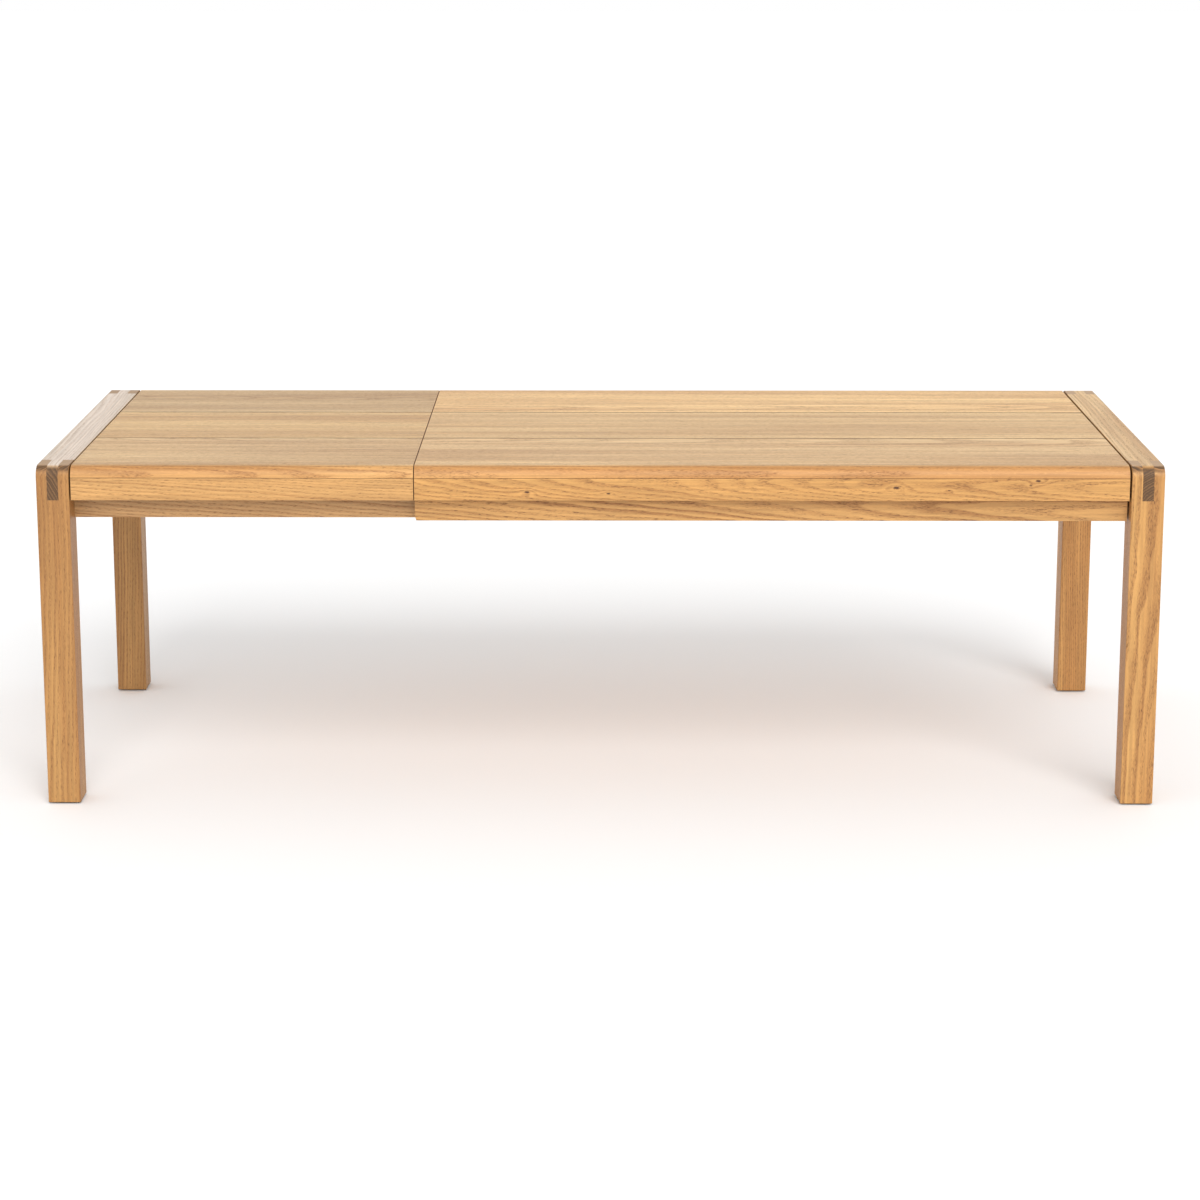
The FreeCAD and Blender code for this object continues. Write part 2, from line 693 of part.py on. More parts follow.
def guide_tongue():
    """The hardwood tongue in the front apron that carries the runner."""
    length = "layout.main_length - sizes.end_rail_thickness"
    width = "sizes.tongue_inset + sizes.tongue_reach"
    tongue = block("front_guide_tongue", length, width, "sizes.tongue_height")
    tip, top = value("tongue_inset") + value("tongue_reach"), value("tongue_height")
    round_edges(
        tongue,
        "sizes.arris",
        lambda p: same(p.y, tip) and (same(p.z, 0) or same(p.z, top)),
    )
    place(tongue, "layout.main_left", "layout.apron_back - sizes.tongue_inset", "layout.tongue_under")
    return tongue


def end_rail_blank():
    """The rail that closes the aprons beside the fixed end frame."""
    rail = block(
        "end_rail_blank",
        "sizes.end_rail_thickness",
        "-2 * layout.apron_back",
        "sizes.apron_height",
    )
    round_edges(rail, "sizes.arris", lambda p: same(p.z, 0))
    place(rail, "layout.end_rail_left", "layout.apron_back", "layout.apron_under")
    return rail


def spacers():
    """The metal rings that hold the fixed end frame off the top by the shadow gap."""
    spacer = ring(value("spacer_radius"), value("bolt_radius"), value("shadow_gap"))
    x, level = value("main_right"), value("bolt_level")
    return group("shadow_gap_spacers", [along(spacer, (1, 0, 0), (x, y, level)) for y in bolt_rows()])


def stop_screw_places():
    """Heads of the two screws in each stop block."""
    x = value("stop_left") + value("stop_length") / 2
    level = value("boards_under") - value("stop_height")
    quarter = value("stop_width") / 4
    middle = value("stop_offset")
    return [(x, side * middle + shift, level) for side in (-1, 1) for shift in (-quarter, quarter)]


def stop_block(fixings):
    """The front block that the end tie meets when the table is pulled out."""
    stop = block("stop_blank", "sizes.stop_length", "sizes.stop_width", "sizes.stop_height")
    round_edges(stop, "sizes.leg_arris", lambda p: same(p.z, 0))
    place(
        stop,
        "layout.stop_left",
        "-sizes.stop_offset - sizes.stop_width / 2",
        "layout.boards_under - sizes.stop_height",
    )
    return fit_round(stop, fixings, "front_stop_block")


def buffers():
    """The rubber buffers on the end rail that the runners meet when the table is closed."""
    length = value("buffer_length")
    buffer = Part.makeCylinder(value("buffer_radius"), length)
    buffer = buffer.makeFillet(length / 5, [e for e in buffer.Edges if same(e.BoundBox.ZMin, length)])
    x = value("end_rail_left")
    row = value("runner_middle")
    level = value("apron_under") + value("runner_height") / 2
    return group("closing_buffers", [along(buffer, (-1, 0, 0), (x, y, level)) for y in (row, -row)])


def fixed_section():
    """Everything that stays with the fixed end frame."""
    reach = value("end_rail_thickness") + value("shadow_gap")
    bolts, washers = bolts_and_washers("right", value("end_rail_left"), reach, 1)
    end_frame("right", "layout.fixed_frame_left", value("fixed_frame_left"), bolts)
    keep(bolts, washers, spacers())

    places = main_batten_lefts()
    lefts = [float(sizes.evalExpression(left)) for name, left in places]
    fixings = batten_screws("main_batten_screws", lefts)
    stop_fixings = screws("stop_block_screws", stop_screw_places(), "stop_screw_length")
    keeper_fixings = screws("keeper_screws", keeper_screw_places(), "small_screw_length")
    both = group_tool("main_board_fixings", (fixings, stop_fixings))
    top_section("main", "layout.main_left", "layout.main_length", both)
    batten_tool = group_tool("main_batten_fixings", (fixings, keeper_fixings))
    battens("main", places, batten_tool)
    keep(fixings, stop_fixings, keeper_fixings)

    pins = dowels()
    apron_tool = group_tool("apron_cuts", (pins, apron_nose()))
    apron = fit_round(apron_blank(), apron_tool, "main_front_apron")
    keep(apron, mirror_to_back(apron, "main_back_apron"))
    rail_tool = group_tool("end_rail_cuts", (pins, bolts))
    keep(fit_round(end_rail_blank(), rail_tool, "main_end_rail"), pins)

    tongue = guide_tongue()
    keep(tongue, mirror_to_back(tongue, "back_guide_tongue"))
    stop = stop_block(stop_fixings)
    keep(stop, mirror_to_back(stop, "back_stop_block"), buffers())

    keeper = lock_keeper(keeper_fixings)
    keep(keeper, mirror_to_back(keeper, "back_lock_keeper"))
    bolt = lock_bolt()
    keep(bolt, mirror_to_back(bolt, "back_lock_bolt"))


def group_tool(label, pieces):
    """Several groups of fasteners as one cutting tool."""
    return group(label, [solid for piece in pieces for solid in piece.Shape.Solids])


# ---------------------------------------------------------------------------------------------
# Locks: a sliding bolt in a keeper under the first main batten, front and back
# ---------------------------------------------------------------------------------------------


def keeper_screw_places():
    """Heads of the four small screws of each keeper, at the corners of its plate."""
    level = value("batten_under") - value("keeper_plate")
    edge = value("screw_head_radius") + value("keeper_screw_edge")
    across = value("keeper_width") / 2 - edge
    along_bolt = value("keeper_length") / 2 - edge
    middle = value("batten_front") + value("keeper_length") / 2
    return [
        (value("lock_x") + side * across, face * (middle + end * along_bolt), level)
        for face in (1, -1)
        for side in (-1, 1)
        for end in (-1, 1)
    ]


def lock_keeper(fixings):
    """The front keeper: a plate with two loops that guide the bolt."""
    loop_height = "(sizes.lock_drop - sizes.keeper_plate + layout.loop_radius)"
    keeper = doc.addObject("PartDesign::Body", "keeper_blank")
    plate = rectangle(("0", "0"), ("sizes.keeper_width", "sizes.keeper_length"))
    build_up(keeper, "XY_Plane", loop_height, "sizes.keeper_plate", plate)
    drop = value("lock_drop") - value("keeper_plate") + value("loop_radius")
    width, length = value("keeper_width"), value("keeper_length")
    round_edges(
        keeper,
        "sizes.leg_arris",
        lambda p: p.z > drop + TOLERANCE
        and p.z < drop + value("keeper_plate") - TOLERANCE
        and (same(p.x, 0) or same(p.x, width))
        and (same(p.y, 0) or same(p.y, length)),
    )
    middle = "sizes.keeper_width / 2"
    far_loop = "sizes.keeper_length - sizes.keeper_loop_inset - sizes.keeper_loop"
    for start in ("sizes.keeper_loop_inset", far_loop):
        loop = rectangle(
            (middle + " - layout.loop_radius", start),
            (middle + " + layout.loop_radius", start + " + sizes.keeper_loop"),
        )
        build_up(keeper, "XY_Plane", "0", loop_height, loop)
    round_edges(
        keeper,
        "layout.loop_radius - sizes.keeper_loop_flat",
        lambda p: same(p.z, 0) and not same(p.x, width / 2),
    )
    cut_in(
        keeper,
        "XZ_Plane",
        "0",
        "sizes.keeper_length",
        [circle((middle, "layout.loop_radius"), "sizes.lock_radius + sizes.lock_clearance")],
    )
    place(
        keeper,
        "layout.lock_x - sizes.keeper_width / 2",
        "layout.batten_front",
        "layout.lock_level - layout.loop_radius",
    )
    return fit_round(keeper, fixings, "front_lock_keeper")


def lock_bolt():
    """The front lock bolt, drawn back, with its knob hanging between the keeper's loops."""
    bolt = doc.addObject("PartDesign::Body", "front_lock_bolt")
    pin = circle(("0", "0"), "sizes.lock_radius")
    build_up(bolt, "XZ_Plane", "0", "sizes.lock_length", pin, reverse=True)
    length, reach = value("lock_length"), value("lock_radius") + value("knob_length")
    round_edges(bolt, "sizes.lock_rounding", lambda p: same(p.y, 0) or same(p.y, length))
    far_loop = "sizes.keeper_length - sizes.keeper_loop_inset - sizes.keeper_loop"
    knob_y = far_loop + " - 2 * sizes.knob_radius + layout.batten_front - layout.runner_back"
    knob = circle(("0", knob_y + " - sizes.lock_retreat"), "sizes.knob_radius")
    build_up(bolt, "XY_Plane", "0", "sizes.lock_radius + sizes.knob_length", knob, reverse=True)
    round_edges(bolt, "sizes.lock_rounding", lambda p: same(p.z, -reach))
    place(bolt, "layout.lock_x", "layout.runner_back + sizes.lock_retreat", "layout.lock_level")
    return bolt


# ---------------------------------------------------------------------------------------------
# Sliding section: the left-hand end frame on its runners
# ---------------------------------------------------------------------------------------------


def runner_blank():
    """The front runner: a groove outside, peg holes above and lock holes inside."""
    runner = block("runner_blank", "layout.runner_length", "sizes.runner_thickness", "layout.runner_height")
    round_edges(runner, "sizes.arris", lambda p: same(p.z, 0))
    groove_top = "sizes.apron_height - sizes.tongue_depth + sizes.slide_clearance"
    groove_under = "sizes.apron_height - sizes.tongue_depth - sizes.tongue_height - sizes.slide_clearance"
    groove_start = "layout.main_left - layout.slide_frame_right - layout.travel"
    cut_in(
        runner,
        "XZ_Plane",
        "0",
        "sizes.tongue_reach - sizes.runner_gap + sizes.slide_clearance",
        [rectangle(
            (groove_start + " - sizes.slide_clearance", groove_under),
            ("layout.runner_length", groove_top),
        )],
    )
    hole = "sizes.peg_radius + sizes.peg_clearance"
    first_peg = "sizes.frame_gap + sizes.peg_inset"
    last_peg = "sizes.frame_gap + sizes.leaf_length - sizes.peg_inset"
    cut_in(
        runner,
        "XY_Plane",
        "layout.runner_height",
        "sizes.peg_length - sizes.peg_grip - sizes.runner_drop + sizes.peg_hole_spare",
        [circle((x, "sizes.runner_thickness / 2"), hole) for x in (first_peg, last_peg)],
    )
    lock_rise = "layout.lock_level - layout.apron_under"
    open_lock = "layout.lock_x - layout.slide_frame_right"
    lock_hole = "sizes.lock_radius + sizes.lock_hole_clearance"
    cut_in(
        runner,
        "XZ_Plane",
        "-sizes.runner_thickness",
        "sizes.lock_travel - sizes.lock_retreat + sizes.lock_hole_spare",
        [circle((x, lock_rise), lock_hole) for x in (open_lock, open_lock + " - layout.travel")],
        reverse=True,
    )
    place(runner, "layout.slide_frame_right", "layout.runner_front", "layout.apron_under")
    return runner


def tie_screw_places():
    """Heads of the screws through the front runner into the end tie."""
    x = value("end_tie_left") + value("tie_thickness") / 2
    y = value("runner_front")
    low = value("end_tie_under") + value("tie_screw_rise")
    return [(x, y, low), (x, y, low + value("tie_screw_pitch"))]


def tie_screws():
    """Two screws at each end of the end tie."""
    screw = wood_screw(value("tie_screw_length"))
    shapes = []
    for x, y, z in tie_screw_places():
        shapes.append(along(screw, (0, 1, 0), (x, y, z)))
        shapes.append(along(screw, (0, -1, 0), (x, -y, z)))
    return group("runner_tie_screws", shapes)


def tie_blank(name, left, height, under):
    """A tie that keeps the runners parallel."""
    tie = block(name, "sizes.tie_thickness", "-2 * layout.runner_back", height)
    round_edges(tie, "sizes.arris", lambda p: same(p.z, 0))
    place(tie, left, "layout.runner_back", under)
    return tie


def bracket_screws():
    """Four screws for each corner bracket: two into the frame tie, two into the runner."""
    screw = wood_screw(value("small_screw_length"))
    plate = value("bracket_plate")
    reach = value("bracket_screw_reach")
    x0 = value("slide_frame_right") + value("tie_thickness")
    y0 = value("runner_back")
    under = value("apron_under") + value("bracket_rise")
    edge = value("bracket_screw_edge")
    shapes = []
    for level in (under + edge, under + value("bracket_height") - edge):
        for side in (1, -1):
            shapes.append(along(screw, (0, -side, 0), (x0 + reach, side * (y0 + plate), level)))
            shapes.append(along(screw, (-1, 0, 0), (x0 + plate, side * (y0 + reach), level)))
    return group("bracket_screws", shapes)


def corner_bracket(fixings):
    """The front steel angle between the frame tie and the runner."""
    bracket = block("bracket_blank", "sizes.bracket_leg", "sizes.bracket_leg", "sizes.bracket_height")
    plate = value("bracket_plate")
    cut_in(
        bracket,
        "XY_Plane",
        "sizes.bracket_height",
        "sizes.bracket_height",
        [rectangle(
            ("sizes.bracket_plate", "sizes.bracket_plate"),
            ("sizes.bracket_leg + sizes.bracket_plate", "sizes.bracket_leg + sizes.bracket_plate"),
        )],
    )
    round_edges(bracket, "sizes.bracket_plate", lambda p: same(p.x, plate) and same(p.y, plate))
    place(
        bracket,
        "layout.slide_frame_right + sizes.tie_thickness",
        "layout.runner_back",
        "layout.apron_under + sizes.bracket_rise",
    )
    return fit_round(bracket, fixings, "front_corner_bracket")


def sliding_section():
    """Everything that slides with the left-hand end frame."""
    face = value("slide_frame_right") + value("tie_thickness")
    bolts, washers = bolts_and_washers("left", face, value("tie_thickness"), -1)
    left = "-layout.half_length"
    end_frame("left", left, -value("half_length"), bolts)
    keep(bolts, washers)

    angle_fixings = bracket_screws()
    end_fixings = tie_screws()
    runner_tool = group_tool("runner_cuts", (angle_fixings, end_fixings))
    runner = fit_round(runner_blank(), runner_tool, "front_runner")
    keep(runner, mirror_to_back(runner, "back_runner"))

    frame_tie = tie_blank(
        "frame_tie_blank", "layout.slide_frame_right", "layout.frame_tie_height", "layout.apron_under"
    )
    frame_tool = group_tool("frame_tie_cuts", (bolts, angle_fixings))
    keep(fit_round(frame_tie, frame_tool, "runner_frame_tie"))
    end_tie = tie_blank(
        "end_tie_blank", "layout.end_tie_left", "sizes.end_tie_height", "layout.end_tie_under"
    )
    keep(fit_round(end_tie, end_fixings, "runner_end_tie"))

    bracket = corner_bracket(angle_fixings)
    keep(bracket, mirror_to_back(bracket, "back_corner_bracket"))
    keep(angle_fixings, end_fixings)


# ---------------------------------------------------------------------------------------------
# Loose leaf
# ---------------------------------------------------------------------------------------------


def leaf_ends():
    """Both ends of the leaf along the table."""
    left = value("leaf_left")
    return left, left + value("leaf_length")


def pegs():
    """Four pegs under the leaf that drop into the runners."""
    radius, length = value("peg_radius"), value("peg_length")
    peg = Part.makeCylinder(radius, length)
    peg = peg.makeChamfer(value("peg_chamfer"), [e for e in peg.Edges if same(e.BoundBox.ZMax, 0)])
    left, right = leaf_ends()
    inset = value("peg_inset")
    row = value("runner_middle")
    bottom = value("boards_under") + value("peg_grip") - length
    places = [(x, y, bottom) for x in (left + inset, right - inset) for y in (row, -row)]
    return group("leaf_pegs", [along(peg, UP, point) for point in places])


def rest_pads():
    """Four felt pads under the leaf that lie on the runners."""
    length, thickness, width = value("pad_length"), value("runner_drop"), value("runner_thickness")
    pad = Part.makeBox(length, width, thickness)
    left, right = leaf_ends()
    inset = value("pad_inset")
    level = value("boards_under") - thickness
    front = value("runner_front")
    places = [(x, y, level) for x in (left + inset, right - inset - length) for y in (front, -front - width)]
    return group("leaf_rest_pads", [along(pad, UP, point) for point in places])


def loose_leaf():
    """Boards, fascias, battens, pegs and pads of the leaf."""
    places = leaf_batten_lefts()
    lefts = [float(sizes.evalExpression(left)) for name, left in places]
    fixings = batten_screws("leaf_batten_screws", lefts)
    leaf_pegs = pegs()
    tool = group_tool("leaf_board_fixings", (fixings, leaf_pegs))
    top_section("leaf", "layout.leaf_left", "sizes.leaf_length", tool)
    battens("leaf", places, fixings)
    keep(fixings, leaf_pegs, rest_pads())


# ---------------------------------------------------------------------------------------------
# Build, check and write
# ---------------------------------------------------------------------------------------------


def check():
    """Stop if any object failed, or if a finished piece is missing, empty or not valid."""
    for thing in doc.Objects:
        if "Invalid" in thing.State or "Error" in thing.State:
            raise RuntimeError(f"{thing.Label} did not build")
    for piece in nodes:
        shape = piece.Shape
        if shape.isNull() or not shape.isValid() or shape.Volume <= 0:
            raise RuntimeError(f"{piece.Label} has no sound solid")


def write():
    """Write each piece to its own file."""
    os.makedirs("parts", exist_ok=True)
    for piece in nodes:
        piece.Shape.exportStep(f"parts/{piece.Label}.step")
    print(len(nodes), "nodes written")


fixed_section()
sliding_section()
loose_leaf()
doc.recompute()
check()
write()
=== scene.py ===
import json
import math
from collections import namedtuple

import bmesh
import bpy
from bpy.props import FloatProperty, FloatVectorProperty, PointerProperty
from mathutils import Euler, Matrix, Vector


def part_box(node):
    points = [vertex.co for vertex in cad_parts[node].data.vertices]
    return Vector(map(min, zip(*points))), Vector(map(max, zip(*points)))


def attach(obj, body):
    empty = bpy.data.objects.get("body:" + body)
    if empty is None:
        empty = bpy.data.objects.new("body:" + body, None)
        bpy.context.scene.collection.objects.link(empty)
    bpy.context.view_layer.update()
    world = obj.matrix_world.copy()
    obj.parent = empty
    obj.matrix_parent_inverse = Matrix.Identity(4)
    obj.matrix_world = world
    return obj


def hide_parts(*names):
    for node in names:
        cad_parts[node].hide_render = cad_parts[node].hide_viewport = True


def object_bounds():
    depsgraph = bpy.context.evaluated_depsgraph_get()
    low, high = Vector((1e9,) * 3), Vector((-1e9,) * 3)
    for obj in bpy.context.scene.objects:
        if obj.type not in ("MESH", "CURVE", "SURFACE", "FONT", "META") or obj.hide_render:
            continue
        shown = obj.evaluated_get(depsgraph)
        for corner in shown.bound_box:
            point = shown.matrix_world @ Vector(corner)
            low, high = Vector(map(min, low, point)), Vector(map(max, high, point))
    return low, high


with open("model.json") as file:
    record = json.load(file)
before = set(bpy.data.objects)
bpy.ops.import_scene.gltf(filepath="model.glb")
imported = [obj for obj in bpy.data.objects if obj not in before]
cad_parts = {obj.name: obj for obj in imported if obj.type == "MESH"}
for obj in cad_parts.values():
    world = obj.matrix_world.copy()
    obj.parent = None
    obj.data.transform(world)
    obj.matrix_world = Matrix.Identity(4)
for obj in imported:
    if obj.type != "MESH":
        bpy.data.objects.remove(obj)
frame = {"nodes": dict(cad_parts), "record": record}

bl_info = {
    "name": "Extending Oak Table",
    "version": (1, 0, 0),
    "blender": (4, 5, 0),
    "location": "3D View > Sidebar > Oak Table",
    "description": "Oak, ironmongery and studio for an extending dining table",
    "category": "Object",
}

CAD_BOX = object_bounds()
MILLIMETRE = 0.001
BODY_OF = {
    node: body for body, nodes in frame["record"]["behaviour"]["bodies"].items() for node in nodes
}


# ---------------------------------------------------------------------------------------------
# Settings
# ---------------------------------------------------------------------------------------------


def colour(name, description, default):
    return FloatVectorProperty(
        name=name, description=description, subtype="COLOR", size=3, min=0, max=1, default=default
    )


def length(name, description, default):
    return FloatProperty(
        name=name, description=description, unit="LENGTH", precision=5, min=0, default=default
    )


class OakSettings(bpy.types.PropertyGroup):
    """The oak that the whole table is cut from."""

    pale_wood: colour("Pale wood", "Colour between the pores", (0.60, 0.318, 0.098))
    cool_wood: colour("Cool wood", "The same in a paler, cooler piece", (0.59, 0.405, 0.25))
    pore_line: colour("Pore lines", "Colour of the lines of large pores", (0.33, 0.140, 0.037))
    pore: colour("Pores", "Colour inside a pore", (0.16, 0.068, 0.022))
    brown_streak: colour("Brown streaks", "Slow streaks of a warm piece", (0.43, 0.198, 0.055))
    grey_streak: colour("Grey streaks", "Slow streaks of a cool piece", (0.36, 0.245, 0.125))
    end_grain: colour("End grain", "Colour of sawn ends", (0.153, 0.075, 0.027))
    knot: colour("Knots", "Colour of a knot's heart", (0.085, 0.030, 0.010))
    # The dark seam colour is partly the glue line and partly painted shade in the groove between the
    # boards' eased edges.
    glue_line_and_groove_shade: colour("Glue lines and groove shade", "Colour in the seams between boards", (0.045, 0.022, 0.010))
    # Painted reflection: faces that look up are made paler and greyer, standing in for the bright
    # surroundings they reflect.
    painted_reflection_tint: FloatVectorProperty(
        name="Painted top reflection", description="What light has done to the faces that look up",
        size=3, min=0, max=3, default=(1.18, 1.475, 2.09),
    )
    # Painted light: the top boards' faces that don't look up, chiefly the rounded front edges, are made
    # paler, as if lit from the front.
    painted_edge_light_tone: FloatProperty(
        name="Rounding", description="How much paler the boards' rounded edges are", default=1.17
    )
    # Half width of the seam line, which is glue line and painted groove shade.
    seam_width: length("Seam width", "Half the dark line along a glued seam", 0.0026)
    roughness: FloatProperty(
        name="Roughness", description="Roughness of the oiled surface", min=0, max=1, default=0.42
    )
    pore_depth: length("Pore depth", "Depth of the open pores", 0.0004)


class IronmongerySettings(bpy.types.PropertyGroup):
    """Screws, bolts, locks and brackets."""

    zinc: colour("Zinc", "Colour of zinc-plated steel", (0.60, 0.60, 0.585))
    thread_pitch: length("Thread pitch", "Distance between a screw's threads", 0.0028)
    thread_depth: length("Thread depth", "Depth of a screw's thread", 0.0005)
    recess_depth: length("Recess depth", "Depth of a screw's drive recess", 0.0018)
    edge_break: length("Edge break", "Bevel along stamped and turned edges", 0.0004)
    bolt_head: length("Bolt head", "Height of a frame bolt's hexagon head", 0.0055)
    knob: length("Knob", "Radius of a lock bolt's knob", 0.0035)


class SoftSettings(bpy.types.PropertyGroup):
    """Felt, rubber and plastic."""

    felt: colour("Felt", "Colour of the rest pads", (0.20, 0.185, 0.165))
    rubber: colour("Rubber", "Colour of the closing buffers", (0.022, 0.022, 0.023))
    plastic: colour("Plastic", "Colour of the glides", (0.19, 0.135, 0.085))
    beech: colour("Beech", "Colour of pegs and dowels", (0.62, 0.41, 0.235))


class StudioSettings(bpy.types.PropertyGroup):
    """Floor, light and camera."""

    camera_place: FloatVectorProperty(
        name="Camera place", description="Where the camera stands", subtype="XYZ",
        unit="LENGTH", size=3, default=(0.024, -6.316, 1.950),
    )
    camera_tilt: FloatProperty(
        name="Camera tilt", description="Angle below level", subtype="ANGLE",
        default=math.radians(11.39),
    )
    camera_turn: FloatProperty(
        name="Camera turn", description="Angle to the left", subtype="ANGLE",
        default=math.radians(0.236),
    )
    lens: FloatProperty(name="Lens", description="Focal length", subtype="DISTANCE_CAMERA", default=84.3)
    shift: FloatProperty(name="Shift", description="Vertical lens shift", default=-0.12)
    floor: colour("Floor", "Colour of the studio floor", (0.93, 0.93, 0.93))
    walls: FloatProperty(name="Walls", description="Light of the white walls", min=0, default=1.0)
    ceiling: FloatProperty(name="Ceiling", description="Light from straight above", min=0, default=0.8)
    key: FloatProperty(name="Key light", description="Strength of the key light", min=0, default=1.75)
    key_softness: FloatProperty(
        name="Key softness", description="How wide the key light is", subtype="ANGLE",
        default=math.radians(40),
    )


def oak_settings():
    return bpy.context.scene.table_oak


def ironmongery():
    return bpy.context.scene.table_ironmongery


def soft_goods():
    return bpy.context.scene.table_soft


def studio():
    return bpy.context.scene.table_studio


# ---------------------------------------------------------------------------------------------
# Shader helpers
# ---------------------------------------------------------------------------------------------


class Nodes:
    """Adds nodes to one tree; an input is given as a number, a colour or another node's output."""

    def __init__(self, tree):
        self.tree = tree

    def join(self, value, socket):
        if isinstance(value, bpy.types.NodeSocket):
            self.tree.links.new(value, socket)
        else:
            socket.default_value = value

    def add(self, kind, inputs=None, **settings):
        node = self.tree.nodes.new(kind)
        for name, value in settings.items():
            setattr(node, name, value)
        for key, value in (inputs or {}).items():
            self.join(value, node.inputs[key])
        return node

    def math(self, operation, *values, clamp=False):
        node = self.add("ShaderNodeMath", dict(enumerate(values)), operation=operation)
        node.use_clamp = clamp
        return node.outputs[0]

    def vector(self, *values):
        return self.add("ShaderNodeCombineXYZ", dict(enumerate(values))).outputs[0]

    def parts(self, vector):
        return self.add("ShaderNodeSeparateXYZ", {0: vector}).outputs

    def vectors(self, operation, first, second):
        """Vector maths on two vectors."""
        inputs = {0: first, 1: second}
        return self.add("ShaderNodeVectorMath", inputs, operation=operation).outputs[0]

    def group(self, name, inputs):
        """A node group placed with its values; gives its outputs."""
        return self.add("ShaderNodeGroup", inputs, node_tree=bpy.data.node_groups[name]).outputs

    def coordinates(self):
        return self.add("ShaderNodeTexCoord").outputs

    def bump(self, strength, distance, height):
        inputs = {"Strength": strength, "Distance": distance, "Height": height}
        return self.add("ShaderNodeBump", inputs).outputs[0]

    def noise(self, vector, detail=2.0, roughness=0.5, scale=1.0):
        inputs = {"Vector": vector, "Scale": scale, "Detail": detail, "Roughness": roughness}
        return self.add("ShaderNodeTexNoise", inputs)

    def span(self, value, low, high, start=0.0, end=1.0):
        """The value taken smoothly from one span to another."""
        inputs = {"Value": value, "From Min": low, "From Max": high, "To Min": start, "To Max": end}
        node = self.add("ShaderNodeMapRange", inputs, interpolation_type="SMOOTHSTEP")
        return node.outputs[0]

    def mix(self, share, first, second, blend="MIX"):
        node = self.add("ShaderNodeMix", data_type="RGBA", blend_type=blend)
        self.join(share, node.inputs[0])
        self.join(first, node.inputs[6])
        self.join(second, node.inputs[7])
        return node.outputs[2]

    def shaded(self, tint, value):
        """A colour made paler or darker by a value round 1."""
        return self.mix(1.0, tint, self.vector(value, value, value), "MULTIPLY")


def socket(tree, name, kind, value=None, out=False):
    made = tree.interface.new_socket(name, in_out="OUTPUT" if out else "INPUT", socket_type=kind)
    if value is not None:
        made.default_value = value


def group_start(name, inputs, outputs):
    """An empty node group with its sockets, and what its inputs give."""
    tree = bpy.data.node_groups.new(name, "ShaderNodeTree")
    for title, kind, value in inputs:
        socket(tree, title, kind, value)
    for title, kind in outputs:
        socket(tree, title, kind, out=True)
    nodes = Nodes(tree)
    given = nodes.add("NodeGroupInput").outputs
    result = nodes.add("NodeGroupOutput").inputs
    return nodes, given, result


def rgba(values):
    return (*values, 1.0)


def new_material(name):
    """A new material, its nodes and its shader."""
    material = bpy.data.materials.new(name)
    material.use_nodes = True
    return material, Nodes(material.node_tree), material.node_tree.nodes["Principled BSDF"]


# ---------------------------------------------------------------------------------------------
# Oak
# ---------------------------------------------------------------------------------------------

# A piece is cut somewhere in the tree.  "axis" is the way its grain runs, "pith" is where the heart
# of the tree lies across the grain from the piece's middle and "lean" how far the grain runs out
# sideways for each metre, all in metres.  "year" is a year's growth in millimetres.  "tone" is below
# 1 where the piece is darker, "line" is the strength of its pore lines, "streak" of its slow
# streaks, "warmth" is 1 for golden wood and 0 for cool wood, and "dash" is how broken its lines are.
Cut = namedtuple(
    "Cut",
    "node axis pith lean year tone line streak warmth dash",
    defaults=((0.02, 0.02), 4.2, 1.0, 0.8, 0.3, 0.8, 0.55),
)

TOP_CUTS = (
    Cut(
        "main_front_board", "X", (0.13, -0.10), (0.02, 0.03), 7.0,
        tone=1.09, line=1.45, streak=1.25, warmth=0.9,
    ),
    Cut(
        "main_middle_board", "X", (-0.20, -0.07), (0.01, -0.02), 6.0,
        tone=1.04, line=1.3, streak=1.2, warmth=0.95,
    ),
    Cut(
        "main_back_board", "X", (-0.10, -0.07), (-0.02, 0.02), 8.0,
        tone=1.25, line=1.5, streak=1.3, warmth=1.0,
    ),
    Cut(
        "leaf_front_board", "X", (0.16, -0.08), (0.02, -0.03), 6.5,
        tone=1.01, line=1.45, streak=1.2, warmth=0.9,
    ),
    Cut(
        "leaf_middle_board", "X", (0.19, -0.09), (-0.03, 0.02), 7.5,
        tone=1.01, line=1.3, streak=1.1, warmth=1.0,
    ),
    Cut(
        "leaf_back_board", "X", (0.03, -0.05), (0.06, 0.04), 6.0,
        tone=0.88, line=1.4, streak=1.1, warmth=0.9,
    ),
)
FASCIA_CUTS = (
    Cut(
        "main_front_fascia", "X", (0.050, 0.020), (0.04, 0.02), 3.9,
        tone=1.08, line=1.25, streak=0.35, warmth=1.0,
    ),
    Cut(
        "leaf_front_fascia", "X", (0.10, -0.06), (-0.02, 0.03), 3.4,
        tone=1.04, line=1.0, streak=0.35, warmth=0.9,
    ),
    Cut(
        "main_back_fascia", "X", (-0.06, 0.020), (0.02, -0.03), 4.6,
        tone=1.05, line=1.25, streak=0.35, warmth=1.0,
    ),
    Cut(
        "leaf_back_fascia", "X", (-0.09, 0.050), (0.03, 0.02), 4.2,
        tone=1.0, line=1.0, streak=0.35, warmth=0.9,
    ),
)
